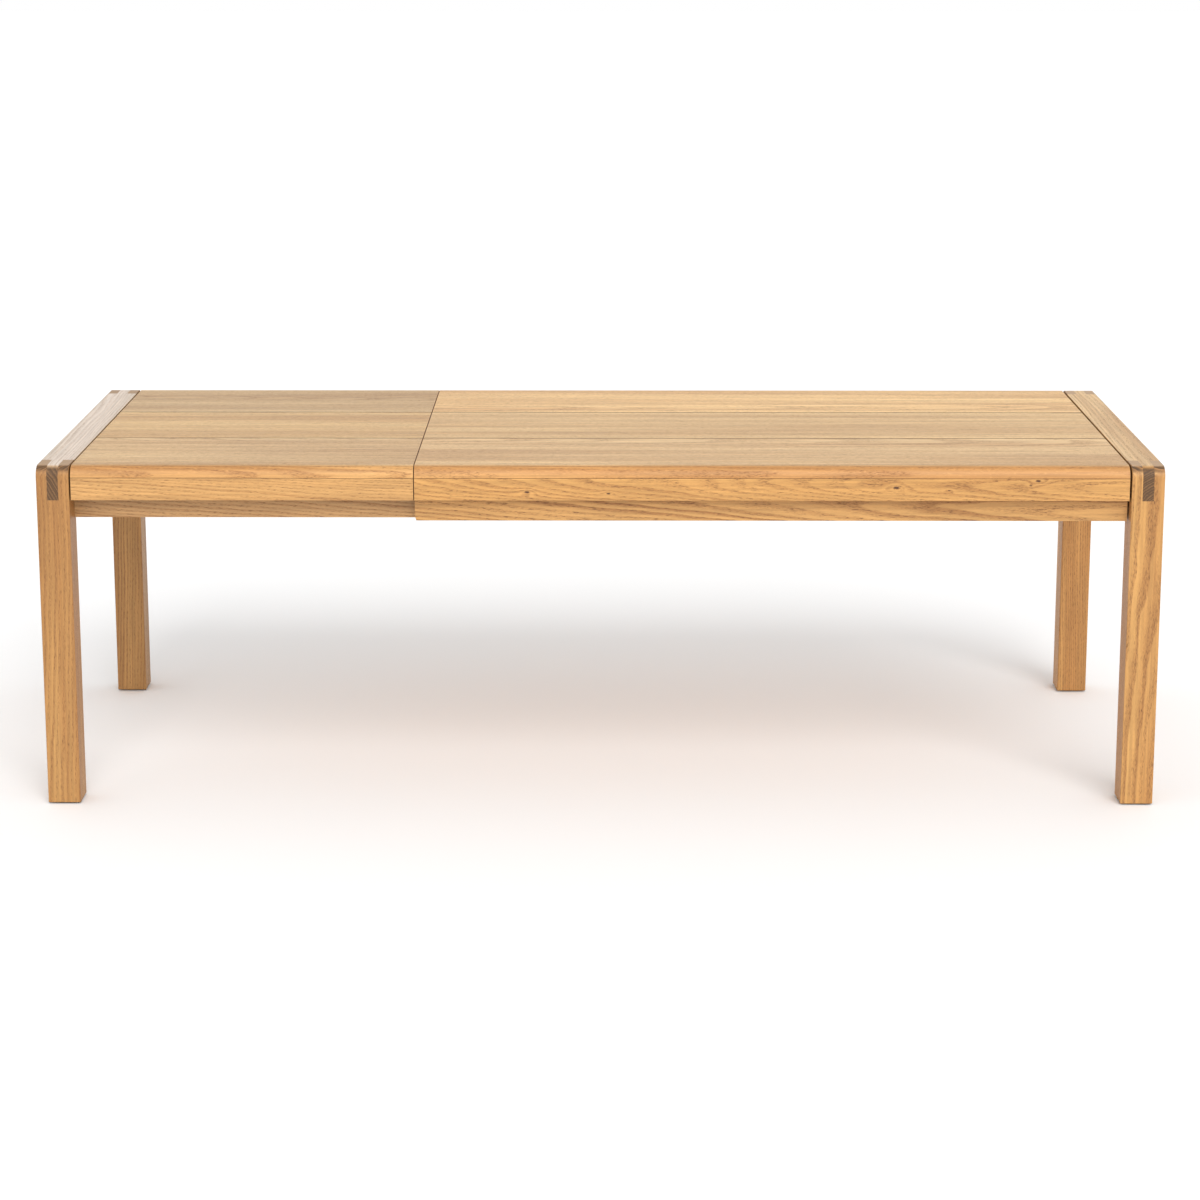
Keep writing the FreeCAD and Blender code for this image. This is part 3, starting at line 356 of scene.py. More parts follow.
FRAME_CUTS = (
    Cut(
        "left_front_leg", "Z", (0.16, 0.11), (0.02, 0.01), 5.0,
        tone=0.89, line=1.2, streak=1.1, warmth=1.0, dash=0.35,
    ),
    Cut(
        "right_front_leg", "Z", (0.13, -0.06), (-0.02, 0.01), 7.5,
        tone=1.02, line=1.45, streak=1.2, warmth=1.0, dash=0.25,
    ),
    Cut(
        "left_back_leg", "Z", (0.12, 0.14), (0.01, 0.02), 5.0,
        tone=0.77, line=1.3, streak=1.1, warmth=1.0, dash=0.35,
    ),
    Cut(
        "right_back_leg", "Z", (-0.10, 0.15), (0.01, -0.02), 5.5,
        tone=1.02, line=1.3, streak=1.1, warmth=1.0, dash=0.35,
    ),
    Cut(
        "left_top_rail", "Y", (0.13, -0.10), (0.02, 0.02), 5.5,
        tone=0.97, line=0.7, streak=0.5, warmth=0.1,
    ),
    Cut(
        "right_top_rail", "Y", (-0.055, -0.06), (0.03, -0.02), 5.5,
        tone=1.04, line=1.1, streak=1.4, warmth=0.9,
    ),
)
APRON_CUTS = (
    Cut(
        "main_front_apron", "X", (0.040, 0.004), (0.03, 0.06), 7.5,
        tone=0.96, line=1.5, warmth=0.95, dash=0.12,
    ),
    Cut(
        "main_back_apron", "X", (-0.045, -0.015), (0.02, 0.05), 7.5,
        tone=0.97, line=1.5, warmth=0.95, dash=0.12,
    ),
    Cut(
        "front_runner", "X", (0.05, 0.060), (0.04, 0.05), 7.0,
        tone=0.98, line=1.3, streak=0.5, warmth=0.7, dash=0.3,
    ),
    Cut(
        "back_runner", "X", (-0.05, -0.050), (0.04, 0.05), 7.0,
        tone=0.98, line=1.3, streak=0.5, warmth=0.7, dash=0.3,
    ),
)
INNER_CUTS = (
    Cut("front_guide_tongue", "X", (0.09, 0.10), tone=0.95),
    Cut("back_guide_tongue", "X", (-0.09, 0.10), tone=0.95),
    Cut("main_end_rail", "Y", (0.06, 0.05), year=5.5, tone=0.92, line=1.1),
    Cut("main_left_batten", "Y", (0.05, 0.07), year=5.0, tone=0.96),
    Cut("main_inner_left_batten", "Y", (-0.07, 0.05), year=6.0, tone=0.90),
    Cut("main_inner_right_batten", "Y", (0.04, 0.09), year=4.6, tone=0.99, warmth=0.6),
    Cut("main_right_batten", "Y", (-0.05, 0.06), year=5.2, tone=0.93),
    Cut("leaf_left_batten", "Y", (0.06, 0.06), year=5.0, tone=0.94),
    Cut("leaf_right_batten", "Y", (-0.06, 0.08), year=5.6, tone=0.98, warmth=0.7),
    Cut("front_stop_block", "Y", (0.05, 0.06), year=5.0, tone=0.90),
    Cut("back_stop_block", "Y", (-0.05, 0.06), year=5.0, tone=0.90),
    Cut("runner_frame_tie", "Y", (0.08, 0.03), year=5.5, tone=0.93, line=1.0),
    Cut("runner_end_tie", "Y", (-0.08, 0.05), year=5.5, tone=0.96, line=1.0),
)

# What turns the way of the grain into X, and which part of a normal then runs along the grain.
GRAIN_TURN = {
    "X": Euler((0, 0, 0)),
    "Y": Euler((0, 0, -math.pi / 2)),
    "Z": Euler((0, math.pi / 2, 0)),
}
GRAIN_PART = {"X": 0, "Y": 1, "Z": 2}
SEED_STEP = 3.7


def make_oak_group():
    """Solid oak: growth rings round a wandering heart, pores in their early wood, streaks and fibres."""
    nodes, given, result = group_start(
        "oak_figure",
        [
            ("Vector", "NodeSocketVector", None),
            ("Seed", "NodeSocketFloat", 0.0),
            ("Pith Y", "NodeSocketFloat", 0.1),
            ("Pith Z", "NodeSocketFloat", 0.1),
            ("Lean Y", "NodeSocketFloat", 0.02),
            ("Lean Z", "NodeSocketFloat", 0.02),
            ("Wander", "NodeSocketFloat", 0.022),
            ("Ring Width", "NodeSocketFloat", 0.004),
            ("Dash", "NodeSocketFloat", 0.5),
            ("Knots", "NodeSocketFloat", 0.0),
        ],
        [
            ("Lines", "NodeSocketFloat"),
            ("Pores", "NodeSocketFloat"),
            ("Streaks", "NodeSocketFloat"),
            ("Fibres", "NodeSocketFloat"),
            ("Flecks", "NodeSocketFloat"),
        ],
    )
    calc = nodes.math
    along, across, depth = nodes.parts(given["Vector"])
    place = calc("MULTIPLY_ADD", given["Seed"], SEED_STEP, along)

    def stretched(x_scale, side_scale):
        return nodes.vector(
            calc("MULTIPLY", place, x_scale),
            calc("MULTIPLY", across, side_scale),
            calc("MULTIPLY", depth, side_scale),
        )

    drift = nodes.noise(stretched(1.7, 2.2), detail=1.5, roughness=0.45).outputs["Color"]
    drifts = nodes.add("ShaderNodeSeparateColor", {0: drift}).outputs

    def from_pith(position, pith, lean, wandering):
        moved = calc("SUBTRACT", position, given[pith])
        leaning = calc("MULTIPLY_ADD", along, given[lean], moved)
        centred = calc("SUBTRACT", wandering, 0.5)
        return calc("MULTIPLY_ADD", centred, given["Wander"], leaning)

    side = from_pith(across, "Pith Y", "Lean Y", drifts[0])
    down = from_pith(depth, "Pith Z", "Lean Z", drifts[1])
    radius = calc("SQRT", calc("ADD", calc("MULTIPLY", side, side), calc("MULTIPLY", down, down)))
    radius = calc("ADD", radius, given["Knots"])

    years = calc("DIVIDE", radius, given["Ring Width"])
    ripple = nodes.noise(stretched(7.0, 42.0), detail=2.0, roughness=0.55).outputs["Fac"]
    years = calc("MULTIPLY_ADD", calc("SUBTRACT", ripple, 0.5), 1.1, years)
    spread = nodes.noise(nodes.vector(calc("MULTIPLY", radius, 34.0), given["Seed"], 0.0), detail=1.0)
    years = calc("MULTIPLY_ADD", spread.outputs["Fac"], 3.0, years)
    season = calc("FRACT", years)
    year = calc("FLOOR", years)
    year_place = nodes.vector(year, given["Seed"], 0.0)
    wet = nodes.add("ShaderNodeTexWhiteNoise", {"Vector": year_place}).outputs["Value"]
    rise = nodes.span(season, 0.0, 0.16)
    fall = nodes.span(season, 0.22, 0.85, 1.0, 0.0)
    early = calc("MULTIPLY", rise, fall)
    lines = calc("MULTIPLY", early, calc("MULTIPLY_ADD", wet, 0.75, 0.25))

    dashes = nodes.noise(stretched(105.0, 1150.0), detail=1.0).outputs["Fac"]
    open_pores = nodes.span(dashes, 0.54, 0.66)
    fine = nodes.noise(stretched(42.0, 420.0), detail=2.0, roughness=0.6).outputs["Fac"]
    broken = nodes.span(fine, 0.35, 0.70)
    pores = calc("MULTIPLY", open_pores, calc("MULTIPLY_ADD", early, 0.85, 0.15))
    gaps = calc("MULTIPLY", calc("SUBTRACT", 1.0, broken), given["Dash"])
    dashed_lines = calc("MULTIPLY", lines, calc("SUBTRACT", 1.0, gaps))

    slow = nodes.noise(stretched(0.55, 17.0), detail=3.0, roughness=0.55).outputs["Fac"]
    fibres = nodes.noise(stretched(5.0, 190.0), detail=3.0, roughness=0.6).outputs["Fac"]
    flake_place = nodes.vector(
        calc("MULTIPLY", place, 95.0), calc("MULTIPLY", across, 95.0), calc("MULTIPLY", depth, 320.0)
    )
    flake = nodes.noise(flake_place, detail=1.0).outputs["Fac"]

    nodes.join(dashed_lines, result["Lines"])
    nodes.join(pores, result["Pores"])
    nodes.join(nodes.span(slow, 0.30, 0.72), result["Streaks"])
    nodes.join(fibres, result["Fibres"])
    nodes.join(nodes.span(flake, 0.60, 0.72), result["Flecks"])


def make_knot_group():
    """One knot: a dark heart, and how far it pushes the rings aside."""
    nodes, given, result = group_start(
        "oak_knot",
        [
            ("Vector", "NodeSocketVector", None),
            ("Place", "NodeSocketVector", (0, 0, 0)),
            ("Size", "NodeSocketFloat", 0.004),
        ],
        [("Heart", "NodeSocketFloat"), ("Push", "NodeSocketFloat")],
    )
    calc = nodes.math
    offset = nodes.vectors("SUBTRACT", given["Vector"], given["Place"])
    wavy = nodes.noise(nodes.vectors("MULTIPLY", offset, (300, 300, 300))).outputs["Fac"]
    flat = nodes.vectors("MULTIPLY", offset, (0.45, 0.6, 1.0))
    away = nodes.add("ShaderNodeVectorMath", {0: flat}, operation="LENGTH").outputs["Value"]
    ratio = calc("DIVIDE", away, given["Size"])
    ragged = calc("MULTIPLY_ADD", calc("SUBTRACT", wavy, 0.5), 0.9, ratio)
    nodes.join(nodes.span(ragged, 0.35, 1.0, 1.0, 0.0), result["Heart"])
    gauss = calc("POWER", math.e, calc("MULTIPLY", calc("MULTIPLY", ratio, ratio), -0.16))
    nodes.join(calc("MULTIPLY", gauss, calc("MULTIPLY", given["Size"], 1.6)), result["Push"])


Knot = namedtuple("Knot", "along up size")
# Places of knots on a piece's face, from its middle, in metres.
KNOTS = {
    "main_front_fascia": (
        Knot(-0.520, -0.006, 0.0034),
        Knot(-0.347, -0.009, 0.0026),
        Knot(0.265, 0.004, 0.0044),
        Knot(0.377, -0.002, 0.0018),
        Knot(0.566, 0.019, 0.0036),
        Knot(0.550, 0.009, 0.0018),
    ),
    "main_back_fascia": (Knot(0.31, 0.004, 0.0048), Knot(-0.22, -0.010, 0.0036)),
    "main_middle_board": (Knot(0.05, -0.06, 0.004),),
}


def knots_on(nodes, cut, vector, middle, low):
    """The hearts and the pushes of a piece's knots, added up."""
    heart, push = 0.0, 0.0
    top = cut in TOP_CUTS
    for knot in KNOTS.get(cut.node, ()):
        surface = Vector((knot.along, knot.up, 0)) if top else Vector((knot.along, 0, knot.up))
        if not top:
            surface.y = low.y - middle.y if "front" in cut.node else middle.y - low.y
        inputs = {"Vector": vector, "Place": tuple(surface), "Size": knot.size}
        made = nodes.group("oak_knot", inputs)
        heart = nodes.math("MAXIMUM", made["Heart"], heart)
        push = nodes.math("ADD", made["Push"], push)
    return heart, push


def blended(cool, warm, share):
    return Vector(cool).lerp(Vector(warm), share)


def seams_of(cut, low, high):
    """Where a piece is glued to a neighbour: the axis across each seam, its place and half width."""
    width = oak_settings().seam_width
    if cut in TOP_CUTS:
        outside = CAD_BOX[1].y - MILLIMETRE
        return [("Y", side.y, width) for side in (low, high) if abs(side.y) < outside]
    if cut in FASCIA_CUTS:
        return [("Z", high.z, width * 0.4)]
    return []


def glue_and_groove_shade_mask(nodes, cut, place, low, high):
    """1 in the eased edges where a piece meets its neighbour, fading to 0 beside them: glue line and
    painted groove shade.
    """
    mask = 0.0
    for axis, seam, width in seams_of(cut, low, high):
        across = nodes.parts(place)[axis]
        away = nodes.math("ABSOLUTE", nodes.math("SUBTRACT", across, seam))
        line = nodes.span(away, width * 0.65, width, 1.0, 0.0)
        mask = nodes.math("MAXIMUM", line, mask)
    return mask


def long_grain(nodes, cut, masks):
    """The colour along the grain: pale wood, then streaks, fibres, pore lines, flecks and pores."""
    settings = oak_settings()
    pale = blended(settings.cool_wood, settings.pale_wood, cut.warmth) * cut.tone
    streak = blended(settings.grey_streak, settings.brown_streak, cut.warmth) * cut.tone
    streak_share = nodes.math("MULTIPLY", masks["Streaks"], cut.streak)
    base = nodes.mix(streak_share, rgba(pale), rgba(streak))
    base = nodes.shaded(base, nodes.span(masks["Fibres"], 0.25, 0.75, 0.84, 1.14))
    line_share = nodes.math("MULTIPLY", masks["Lines"], 0.62 * cut.line, clamp=True)
    base = nodes.mix(line_share, base, rgba(Vector(settings.pore_line) * cut.tone))
    fleck_share = nodes.math("MULTIPLY", masks["Flecks"], 0.16)
    base = nodes.mix(fleck_share, base, rgba(pale * 1.2))
    pore_share = nodes.math("MULTIPLY", masks["Pores"], min(1.0, 0.55 * cut.line + 0.1))
    return nodes.mix(pore_share, base, rgba(settings.pore))


def sawn_end(nodes, cut, masks):
    """The colour of a sawn end: dark, with paler rings and darker pores."""
    shade = nodes.math("MULTIPLY_ADD", masks["Lines"], 1.8 * cut.line, 0.62)
    shade = nodes.math("MULTIPLY_ADD", masks["Pores"], -0.35, shade)
    return nodes.shaded(rgba(oak_settings().end_grain), shade)


def oak_figure(nodes, cut, seed, vector, push):
    """The masks of one piece's figure."""
    inputs = {
        "Vector": vector,
        "Seed": float(seed),
        "Pith Y": cut.pith[0],
        "Pith Z": cut.pith[1],
        "Lean Y": cut.lean[0],
        "Lean Z": cut.lean[1],
        "Ring Width": cut.year * MILLIMETRE,
        "Dash": cut.dash,
        "Knots": push,
    }
    return nodes.group("oak_figure", inputs)


def oak_roughness(nodes, masks, sawn, seam):
    """Pores, sawn ends, seams and fibres are rougher than the oiled surface."""
    rough = nodes.math("MULTIPLY_ADD", masks["Pores"], 0.22, oak_settings().roughness)
    rough = nodes.math("MULTIPLY_ADD", sawn, 0.15, rough)
    rough = nodes.math("MULTIPLY_ADD", seam, 0.4, rough)
    return nodes.math("MULTIPLY_ADD", masks["Fibres"], 0.10, rough)


def oak(cut, seed):
    """The material of one piece of oak."""
    settings = oak_settings()
    material, nodes, shader = new_material("oak_" + cut.node)
    low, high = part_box(cut.node)
    middle = (low + high) / 2
    place = nodes.coordinates()["Object"]
    turn = GRAIN_TURN[cut.axis]
    mapping = {"Vector": place, "Location": -(turn.to_matrix() @ middle), "Rotation": turn}
    vector = nodes.add("ShaderNodeMapping", mapping).outputs[0]
    heart, push = knots_on(nodes, cut, vector, middle, low)
    masks = oak_figure(nodes, cut, seed, vector, push)

    normal = nodes.parts(nodes.coordinates()["Normal"])
    facing = nodes.math("ABSOLUTE", normal[GRAIN_PART[cut.axis]])
    sawn = nodes.span(facing, 0.35, 0.75)
    # Painted reflection: faces that look up turn paler and greyer, and sawn ends that look up turn paler
    # and cooler, standing in for the bright surroundings they reflect.
    painted_reflection_share = nodes.span(normal["Z"], 0.90, 0.99)

    base = long_grain(nodes, cut, masks)
    if cut in TOP_CUTS:
        # Painted light: faces of the top boards that don't look up, chiefly the rounded front edges, are
        # made paler, as if lit from the front.
        painted_edge_light = nodes.span(normal["Z"], 0.80, 0.97, settings.painted_edge_light_tone, 1.0)
        base = nodes.shaded(base, painted_edge_light)
    base = nodes.mix(sawn, base, sawn_end(nodes, cut, masks))
    painted_reflection = nodes.mix(1.0, base, rgba(settings.painted_reflection_tint), "MULTIPLY")
    painted_end_reflection = nodes.mix(0.62, base, rgba(Vector(settings.cool_wood) * cut.tone))
    base = nodes.mix(painted_reflection_share, base, nodes.mix(sawn, painted_reflection, painted_end_reflection))
    base = nodes.mix(heart, base, rgba(settings.knot))
    # Seam line: glue colour and painted shade in the groove between eased edges, weaker on faces that
    # look down.
    seam = glue_and_groove_shade_mask(nodes, cut, place, low, high)
    seam = nodes.math("MULTIPLY", seam, nodes.span(normal["Z"], -0.5, 0.0, 0.35, 1.0))
    base = nodes.mix(seam, base, rgba(settings.glue_line_and_groove_shade))
    nodes.join(base, shader.inputs["Base Color"])
    nodes.join(oak_roughness(nodes, masks, sawn, seam), shader.inputs["Roughness"])

    sunk = nodes.math("MULTIPLY_ADD", masks["Lines"], 0.35, masks["Pores"])
    raised = nodes.math("MULTIPLY_ADD", masks["Fibres"], 0.25, nodes.math("MULTIPLY", sunk, -1.0))
    nodes.join(nodes.bump(0.35, settings.pore_depth, raised), shader.inputs["Normal"])
    return material


def finish_node(name, material):
    """Gives a CAD node its material."""
    for holder in frame["nodes"][name].material_slots:
        holder.material = material


def finish_cuts(cuts, first_seed):
    for seed, cut in enumerate(cuts, start=first_seed):
        finish_node(cut.node, oak(cut, seed))


# ---------------------------------------------------------------------------------------------
# Beech, metal, rubber, felt and plastic
# ---------------------------------------------------------------------------------------------


def make_surface_group():
    """Fine unevenness for metal and plastic: slow mottling, small grain and fine scratches."""
    nodes, given, result = group_start(
        "fine_surface",
        [
            ("Vector", "NodeSocketVector", None),
            ("Mottle Scale", "NodeSocketFloat", 60.0),
            ("Grain Scale", "NodeSocketFloat", 900.0),
        ],
        [("Mottle", "NodeSocketFloat"), ("Grain", "NodeSocketFloat"), ("Scratches", "NodeSocketFloat")],
    )
    mottle = nodes.noise(given["Vector"], detail=3.0, roughness=0.6, scale=given["Mottle Scale"])
    grain = nodes.noise(given["Vector"], detail=2.0, roughness=0.5, scale=given["Grain Scale"])
    drawn = nodes.vectors("MULTIPLY", given["Vector"], (1.0, 14.0, 14.0))
    lines = nodes.noise(drawn, detail=2.0, roughness=0.7, scale=120.0)
    nodes.join(nodes.span(mottle.outputs["Fac"], 0.3, 0.7), result["Mottle"])
    nodes.join(grain.outputs["Fac"], result["Grain"])
    nodes.join(nodes.span(lines.outputs["Fac"], 0.58, 0.70), result["Scratches"])


def surface_material(name, dark, light, roughness, mottle, grain, depth, metallic=0.0):
    """A surface with uneven colour and gloss; mottle and grain are scales, depth is its relief."""
    material, nodes, shader = new_material(name)
    place = nodes.coordinates()["Object"]
    scales = {"Vector": place, "Mottle Scale": mottle, "Grain Scale": grain}
    masks = nodes.group("fine_surface", scales)
    tint = nodes.mix(masks["Mottle"], rgba(dark), rgba(light))
    tint = nodes.shaded(tint, nodes.span(masks["Grain"], 0.3, 0.7, 0.85, 1.12))
    nodes.join(tint, shader.inputs["Base Color"])
    rough = nodes.math("MULTIPLY_ADD", masks["Mottle"], 0.14, roughness)
    rough = nodes.math("MULTIPLY_ADD", masks["Scratches"], 0.10, rough)
    nodes.join(rough, shader.inputs["Roughness"])
    shader.inputs["Metallic"].default_value = metallic
    nodes.join(nodes.bump(0.4, depth, masks["Grain"]), shader.inputs["Normal"])
    return material


def zinc():
    known = bpy.data.materials.get("zinc_plate")
    if known:
        return known
    bright = Vector(ironmongery().zinc)
    return surface_material(
        "zinc_plate", bright * 0.72, bright,
        roughness=0.30, mottle=90.0, grain=1500.0, depth=0.00004, metallic=1.0,
    )


def rubber():
    base = Vector(soft_goods().rubber)
    return surface_material(
        "moulded_rubber", base, base * 1.8, roughness=0.66, mottle=140.0, grain=2200.0, depth=0.00008
    )


def plastic():
    base = Vector(soft_goods().plastic)
    return surface_material(
        "moulded_plastic", base * 0.85, base * 1.1,
        roughness=0.40, mottle=70.0, grain=2600.0, depth=0.00003,
    )


def felt():
    """Pressed felt: matted fibres, with a soft sheen at its edges."""
    base = Vector(soft_goods().felt)
    material = surface_material(
        "pressed_felt", base * 0.6, base * 1.35,
        roughness=0.86, mottle=420.0, grain=3200.0, depth=0.0003,
    )
    shader = material.node_tree.nodes["Principled BSDF"]
    shader.inputs["Sheen Weight"].default_value = 0.35
    shader.inputs["Sheen Roughness"].default_value = 0.6
    shader.inputs["Specular IOR Level"].default_value = 0.1
    return material


def beech(name):
    """Beech dowel stock: plain pinkish wood with short dark flecks along the grain."""
    material, nodes, shader = new_material("beech_" + name)
    inputs = {"Vector": nodes.coordinates()["Object"], "Ring Width": 0.0026, "Dash": 0.0}
    masks = nodes.group("oak_figure", inputs)
    base = Vector(soft_goods().beech)
    wood = nodes.mix(masks["Streaks"], rgba(base), rgba(base * 0.86))
    wood = nodes.mix(nodes.math("MULTIPLY", masks["Lines"], 0.25), wood, rgba(base * 0.6))
    wood = nodes.mix(nodes.math("MULTIPLY", masks["Flecks"], 0.5), wood, rgba(base * 0.5))
    nodes.join(wood, shader.inputs["Base Color"])
    rough = nodes.math("MULTIPLY_ADD", masks["Fibres"], 0.15, 0.5)
    nodes.join(rough, shader.inputs["Roughness"])
    nodes.join(nodes.bump(0.3, 0.0002, masks["Fibres"]), shader.inputs["Normal"])
    return material


# ---------------------------------------------------------------------------------------------
# Modelling helpers
# ---------------------------------------------------------------------------------------------

MERGE = 0.00001


def deselect():
    bpy.ops.object.select_all(action="DESELECT")


def take_up(piece):
    """Makes one object the only selected and the active one."""
    deselect()
    piece.select_set(True)
    bpy.context.view_layer.objects.active = piece


def edit(piece, mode="FACE"):
    take_up(piece)
    bpy.ops.object.mode_set(mode="EDIT")
    bpy.ops.mesh.select_mode(type=mode)
    bpy.ops.mesh.select_all(action="DESELECT")


def object_mode():
    bpy.ops.object.mode_set(mode="OBJECT")


def pick(piece, kind, wanted):
    """Selects the faces, edges or vertices that a test wants; the piece is in edit mode."""
    shape = bmesh.from_edit_mesh(piece.data)
    for item in getattr(shape, kind):
        item.select_set(wanted(item))
    shape.select_flush_mode()
    bmesh.update_edit_mesh(piece.data)


def at_height(height):
    return lambda face: abs(face.calc_center_median().z - height) < MERGE and abs(face.normal.z) > 0.9


def turned(name, radius, sides, profile):
    """A turned piece: a disc at z = 0 drawn down through steps of (drop, radius)."""
    deselect()
    bpy.ops.mesh.primitive_circle_add(vertices=sides, radius=radius, fill_type="NGON")
    piece = bpy.context.object
    piece.name = name
    edit(piece)
    bpy.ops.mesh.select_all(action="SELECT")
    size = radius
    for drop, new_size in profile:
        bpy.ops.mesh.extrude_region_move(TRANSFORM_OT_translate={"value": (0, 0, -drop)})
        if new_size != size:
            scale = new_size / size
            bpy.ops.transform.resize(value=(scale, scale, 1))
        size = new_size
    bpy.ops.mesh.select_all(action="SELECT")
    bpy.ops.mesh.normals_make_consistent(inside=False)
    object_mode()
    return piece


def copies(template, matrices, name):
    """One piece made of copies of a template, each with its own mesh, at each matrix."""
    made = []
    for matrix in matrices:
        copy = template.copy()
        copy.data = template.data.copy()
        copy.data.transform(matrix)
        bpy.context.scene.collection.objects.link(copy)
        made.append(copy)
    deselect()
    for copy in made:
        copy.select_set(True)
    bpy.context.view_layer.objects.active = made[0]
    if len(made) > 1:
        bpy.ops.object.join()
    made[0].name = name
    return made[0]


def joined(name, *pieces):
    deselect()
    for piece in pieces:
        piece.select_set(True)
    bpy.context.view_layer.objects.active = pieces[0]
    bpy.ops.object.join()
    pieces[0].name = name
    return pieces[0]


def discard(piece):
    bpy.data.objects.remove(piece)


def smooth(piece, angle=35):
    take_up(piece)
    bpy.ops.object.shade_smooth_by_angle(angle=math.radians(angle))


def bevelled(piece, width, segments=2, angle=30):
    take_up(piece)
    modifier = piece.modifiers.new("edge_break", "BEVEL")
    modifier.width = width
    modifier.segments = segments
    modifier.limit_method = "ANGLE"
    modifier.angle_limit = math.radians(angle)
    bpy.ops.object.modifier_apply(modifier=modifier.name)


def stand_for(piece, node, material):
    """Finishes a piece that takes a CAD node's place."""
    piece.data.materials.clear()
    piece.data.materials.append(material)
    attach(piece, BODY_OF[node])
    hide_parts(node)


def span_of(points):
    low = Vector(map(min, zip(*points)))
    high = Vector(map(max, zip(*points)))
    return low, high


def solids_of(node):
    """The corners of each separate solid in a CAD node, in order along X, Y and Z."""
    shape = bmesh.new()
    shape.from_mesh(frame["nodes"][node].data)
    bmesh.ops.remove_doubles(shape, verts=shape.verts, dist=MERGE)
    waiting = set(shape.verts)
    solids = []
    while waiting:
        reached = [waiting.pop()]
        points = []
        while reached:
            corner = reached.pop()
            points.append(corner.co.copy())
            for edge in corner.link_edges:
                other = edge.other_vert(corner)
                if other in waiting:
                    waiting.remove(other)
                    reached.append(other)
        solids.append(points)
    shape.free()
    return sorted(solids, key=lambda points: tuple(round(part, 4) for part in span_of(points)[0]))


Fixing = namedtuple("Fixing", "head way length head_radius shank_radius")


def fixing(points):
    """Where a screw or bolt has its head, which way it points and how large it is."""
    low, high = span_of(points)
    size = high - low
    axis = max(range(3), key=lambda part: size[part])
    middle = (low + high) / 2

    def reach(low_share, high_share):
        """How far the solid stands out from its axis between two shares of its length."""
        far = 0.0
        for point in points:
            share = (point[axis] - low[axis]) / size[axis]
            if low_share <= share <= high_share:
                offset = point - middle
                offset[axis] = 0
                far = max(far, offset.length)
        return far

    ends = (reach(0.0, 0.02), reach(0.98, 1.0))
    at_low = ends[0] > ends[1]
    head = middle.copy()
    head[axis] = low[axis] if at_low else high[axis]
    way = Vector((0, 0, 0))
    way[axis] = 1 if at_low else -1
    shank = reach(0.5, 1.0) if at_low else reach(0.0, 0.5)
    return Fixing(head, way, size[axis], max(ends), shank)


def placing(item):
    """Turns and moves a template drawn down from z = 0 onto a fixing's place."""
    turn = (-item.way).to_track_quat("Z", "Y").to_matrix().to_4x4()
    return Matrix.Translation(item.head) @ turn


# ---------------------------------------------------------------------------------------------
# Ironmongery
# ---------------------------------------------------------------------------------------------

SCREW_NODES = (
    "main_batten_screws",
    "leaf_batten_screws",
    "stop_block_screws",
    "keeper_screws",
    "bracket_screws",
    "runner_tie_screws",
)
SCREW_SIDES = 24
ROUND_SIDES = 32
BUFFER_SIDES = 40
HEXAGON = 6
LOBES = 6

# Steps down a turned piece, as shares of its length and of its radius.
KNOB_STEPS = ((0.30, 0.62), (0.08, 0.96), (0.08, 1.0), (0.42, 1.0), (0.07, 0.94), (0.05, 0.72))
BUFFER_STEPS = (
    (0.0, 0.55), (0.05, 0.72), (0.10, 0.84), (0.14, 0.91), (0.08, 0.86), (0.06, 0.86),
    (0.08, 0.95), (0.12, 0.95), (0.08, 0.88), (0.06, 0.88), (0.05, 1.0), (0.18, 1.0),
)
# The recess's rim as a share of the head's radius, and how far valleys, floor and knurl draw in.
RECESS_RIM = 0.42
LOBE_VALLEY = 0.78
RECESS_FLOOR = 0.86
KNURL = 0.90


def steps_of(shares, size, radius):
    return [(drop * size, wide * radius) for drop, wide in shares]


def side_number(corner):
    """Which side of a turned piece a corner stands at, counted from the X axis."""
    return round(math.atan2(corner.co.y, corner.co.x) / (2 * math.pi) * SCREW_SIDES)


def star_recess(piece, radius, depth):
    """Sinks a six-lobed drive recess into the flat face at z = 0."""
    edit(piece)
    pick(piece, "faces", at_height(0))
    bpy.ops.mesh.inset(thickness=radius * RECESS_RIM)
    shape = bmesh.from_edit_mesh(piece.data)
    rim = [corner for corner in shape.verts if corner.select]
    inner = min(corner.co.xy.length for corner in rim)
    bpy.ops.mesh.select_mode(type="VERT")
    every = SCREW_SIDES // LOBES

    def is_valley(corner):
        if abs(corner.co.z) > MERGE or corner.co.xy.length > inner * 1.02:
            return False
        return side_number(corner) % every == every // 2

    def is_recess(face):
        centred = face.calc_center_median().xy.length < MERGE * 10
        return at_height(0)(face) and centred and len(face.verts) == SCREW_SIDES

    pick(piece, "verts", is_valley)
    bpy.ops.transform.resize(value=(LOBE_VALLEY, LOBE_VALLEY, 1))
    bpy.ops.mesh.select_mode(type="FACE")
    pick(piece, "faces", is_recess)
    bpy.ops.mesh.extrude_region_move(TRANSFORM_OT_translate={"value": (0, 0, -depth)})
    bpy.ops.transform.resize(value=(RECESS_FLOOR, RECESS_FLOOR, 1))
    object_mode()


